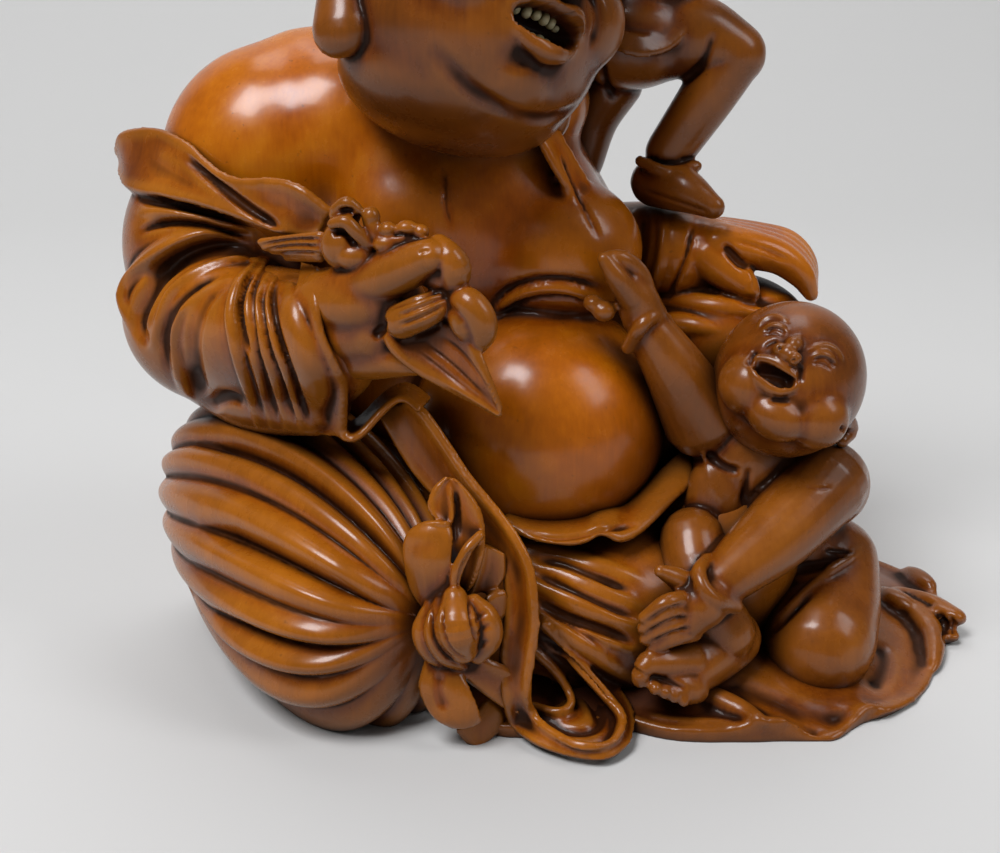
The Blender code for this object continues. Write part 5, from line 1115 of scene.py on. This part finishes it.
FACE_LINES = [
    ([(764, 332), (776, 327), (786, 333)], 0.7, -0.6),
    ([(763, 336), (774, 333), (785, 337)], 0.5, -0.3),
    ([(813, 360), (825, 357), (836, 366)], 0.7, -0.6),
    ([(812, 364), (822, 363), (832, 370)], 0.5, -0.3),
    ([(753, 365), (768, 371), (783, 379), (795, 385)], 1.5, -2.6),
    ([(757, 370), (770, 379), (786, 386)], 1.2, -1.4),
    ([(756, 350), (751, 357), (748, 366)], 1.0, -0.7),
    ([(800, 362), (802, 372), (800, 384)], 1.0, -0.7),
    ([(778, 347), (781, 349)], 0.7, -0.8),
    ([(792, 359), (795, 361)], 0.7, -0.8),
    ([(770, 398), (780, 402), (790, 398)], 1.4, -0.4),
    ([(840, 428), (845, 428), (845, 434)], 0.9, -1.0),
    ([(764, 348), (770, 342), (778, 341)], 0.8, -0.4),
]
finish_piece(face, "kneeling_childs_head", 0.38, 2, brown, FACE_LINES)

# The child that climbs the left arm in short trousers and cloth shoes, arms round the big head.
climber = Wood()
climber.ball((36, 12, 166), (14.5, 13, 18))
climber.ball((33, 10, 154), (14.5, 13.5, 12))
CLIMBER_HIP = (632, 36, 6)
CLIMBER_THIGH = [(645, 36, 6), (695, 36, 4), (734, 54, 2)]
climber.ball(at(*CLIMBER_HIP), (15, 13.5, 12))
climber.limb(seen(CLIMBER_THIGH), [11, 9.4, 7.4])
climber.settle(0.9, 14)
SHIN_HEM_SHOE_FAR_LEG = [
    ([(733, 54, 2), (706, 98, 2), (669, 152, 4)], [7.2, 6.4, 5.6]),
    ([(640, 161, 0), (668, 172, -3), (697, 166, 0)], [1.3, 1.5, 1.3]),
    ([(655, 182, 4), (683, 190, -3), (713, 207, -8)], [5.8, 5.2, 2.8]),
    ([(612, 80, 12), (592, 118, 14), (580, 162, 15)], [7.6, 6.4, 5.6]),
]
TROUSER_HEM_NEAR = [(603, 40, -8), (635, 54, -10), (668, 48, -7), (694, 22, -3)]
TROUSER_HEM_FAR = [(606, 26, -6), (635, 36, -8), (664, 32, -5), (688, 8, -2)]
climber.limbs(SHIN_HEM_SHOE_FAR_LEG)
climber.ribbon(seen(TROUSER_HEM_NEAR), seen(TROUSER_HEM_FAR), 1.8)
climber.limb([(28, 6, 176), (16, 4, 182), (4, 0, 187)], [6.6, 5.4, 4.4])
climber.limb([(46, 8, 174), (47, -6, 170), (36, -16, 170)], [6.4, 5.4, 4.4])
climber.ball((0, -2, 188), (6, 5, 4))
climber.ball((31, -18, 170), (5, 4.4, 4.4))
CLIMBER_LINES = [
    ([(715, 30), (704, 60), (676, 92)], 1.6, -0.8),
    ([(640, 188), (672, 200), (712, 214)], 0.8, -0.5),
    ([(640, 152), (668, 164), (696, 156)], 1.0, -0.7),
    ([(600, 58), (606, 84), (616, 100)], 1.6, -1.0),
]
finish_piece(climber, "climbing_child", 0.6, 3, brown, CLIMBER_LINES)

CLIMBER_HEAD_AT, CLIMBER_HEAD_HALF = (36, 8, 193), (14.5, 15.5, 16)
climber_frame = head_frame(CLIMBER_HEAD_AT, -20, -8, 0)
face = Wood(climber_frame)
face.ball((0, 0, 1), CLIMBER_HEAD_HALF)
for side in (-1, 1):
    face.ball((side * 7, -8, -5), (6.6, 6.2, 6.2))
face.settle(0.8, 10)
for side in (-1, 1):
    face.limb([(side * 13.6, 0, 4), (side * 15.2, 1.5, 1), (side * 13.6, 0, -4)], [1.8, 2, 1.8])
    face.ball((side * 6, -12.6, 3.4), (3, 1.6, 1.5))
    face.limb([(side * 2.4, -14.4, 6.6), (side * 6.4, -13.6, 8), (side * 10, -11, 6.6)], [0.7, 0.9, 0.6])
face.limb([(0, -13.6, 3), (0, -15.4, 0)], [1.4, 2.2])
face.limb([(-4.4, -13, -5.6), (0, -14.8, -6.4), (4.4, -13, -5.6)], [0.8, 1.2, 0.8])
face.limb([(-4, -12.8, -6.6), (0, -14.2, -8.6), (4, -12.8, -6.6)], [0.8, 1.4, 0.8])
small_lines = [([(-4, -14, -6.2), (0, -15.6, -7.4), (4, -14, -6.2)], 0.8, -0.8)]
for side in (-1, 1):
    lid = [(side * 3.6, -14.6, 3.2), (side * 6, -14.6, 2.6), (side * 8.6, -12.6, 3.2)]
    small_lines.append((lid, 0.6, -0.5))
finish_piece(face, "climbing_childs_head", 0.5, 2, brown, placed(climber_frame, small_lines))

# The stand: a plain pale sheet of card under and behind the carving, kept out of the object.
CARD_HALF, CARD_RISE = 1.6, 1.1
card_mesh = bpy.data.meshes.new("card")
bm = bmesh.new()
sweep = [(-CARD_HALF, 0), (0.5, 0)]
sweep += [(0.5 + 0.5 * math.sin(a), 0.5 - 0.5 * math.cos(a)) for a in np.linspace(0.1, math.pi / 2, 12)]
sweep += [(1.0, 0.5 + CARD_RISE)]
sides = [[bm.verts.new((x, y, z)) for y, z in sweep] for x in (-CARD_HALF, CARD_HALF)]
for i in range(len(sweep) - 1):
    bm.faces.new((sides[0][i], sides[1][i], sides[1][i + 1], sides[0][i + 1]))
bm.to_mesh(card_mesh)
card_mesh.shade_smooth()
card = bpy.data.objects.new("card", card_mesh)
bpy.context.scene.collection.objects.link(card)
paper = bpy.data.materials.new("pale_card")
paper.use_nodes = True
paper.node_tree.nodes["Principled BSDF"].inputs["Base Color"].default_value = linear("#D0D0CE")
paper.node_tree.nodes["Principled BSDF"].inputs["Roughness"].default_value = 0.9
paper.node_tree.nodes["Principled BSDF"].inputs["Specular IOR Level"].default_value = 0.2
card_mesh.materials.append(paper)

# The light: a tall window at the upper left behind the viewer, a second one further right, and the
# pale room's own light from everywhere else.
world = bpy.data.worlds.new("room")
bpy.context.scene.world = world
world.use_nodes = True
world.node_tree.nodes["Background"].inputs["Color"].default_value = linear("#E4E4E3")
ROOM_LIGHT, ROOM_SEEN = 0.10, 0.9
first_ray = node(world.node_tree, "LightPath").outputs["Is Camera Ray"]
glow = node(world.node_tree, "MapRange", {"Value": first_ray, "To Min": ROOM_LIGHT, "To Max": ROOM_SEEN})
world.node_tree.links.new(glow.outputs[0], world.node_tree.nodes["Background"].inputs["Strength"])


def window(name, at, aim, wide, high, power, code):
    """A soft rectangular lamp at a place, turned to face another."""
    lamp = bpy.data.lights.new(name, "AREA")
    lamp.shape = "RECTANGLE"
    lamp.size, lamp.size_y = wide, high
    lamp.energy = power
    lamp.color = linear(code)[:3]
    holder = bpy.data.objects.new(name, lamp)
    holder.location = at
    holder.rotation_euler = (Vector(aim) - Vector(at)).to_track_quat("-Z", "Y").to_euler()
    bpy.context.scene.collection.objects.link(holder)


MIDDLE = (0, 0, 0.09)
window("window_left", (-0.72, -0.79, 1.72), MIDDLE, 0.72, 0.86, 33, "#FCFCFF")
window("window_right", (1.15, -0.48, 1.19), MIDDLE, 0.5, 0.9, 6, "#FCFCFF")
window("skylight", (0, 0.8, 2.0), MIDDLE, 1.4, 1.0, 13, "#FCFCFF")
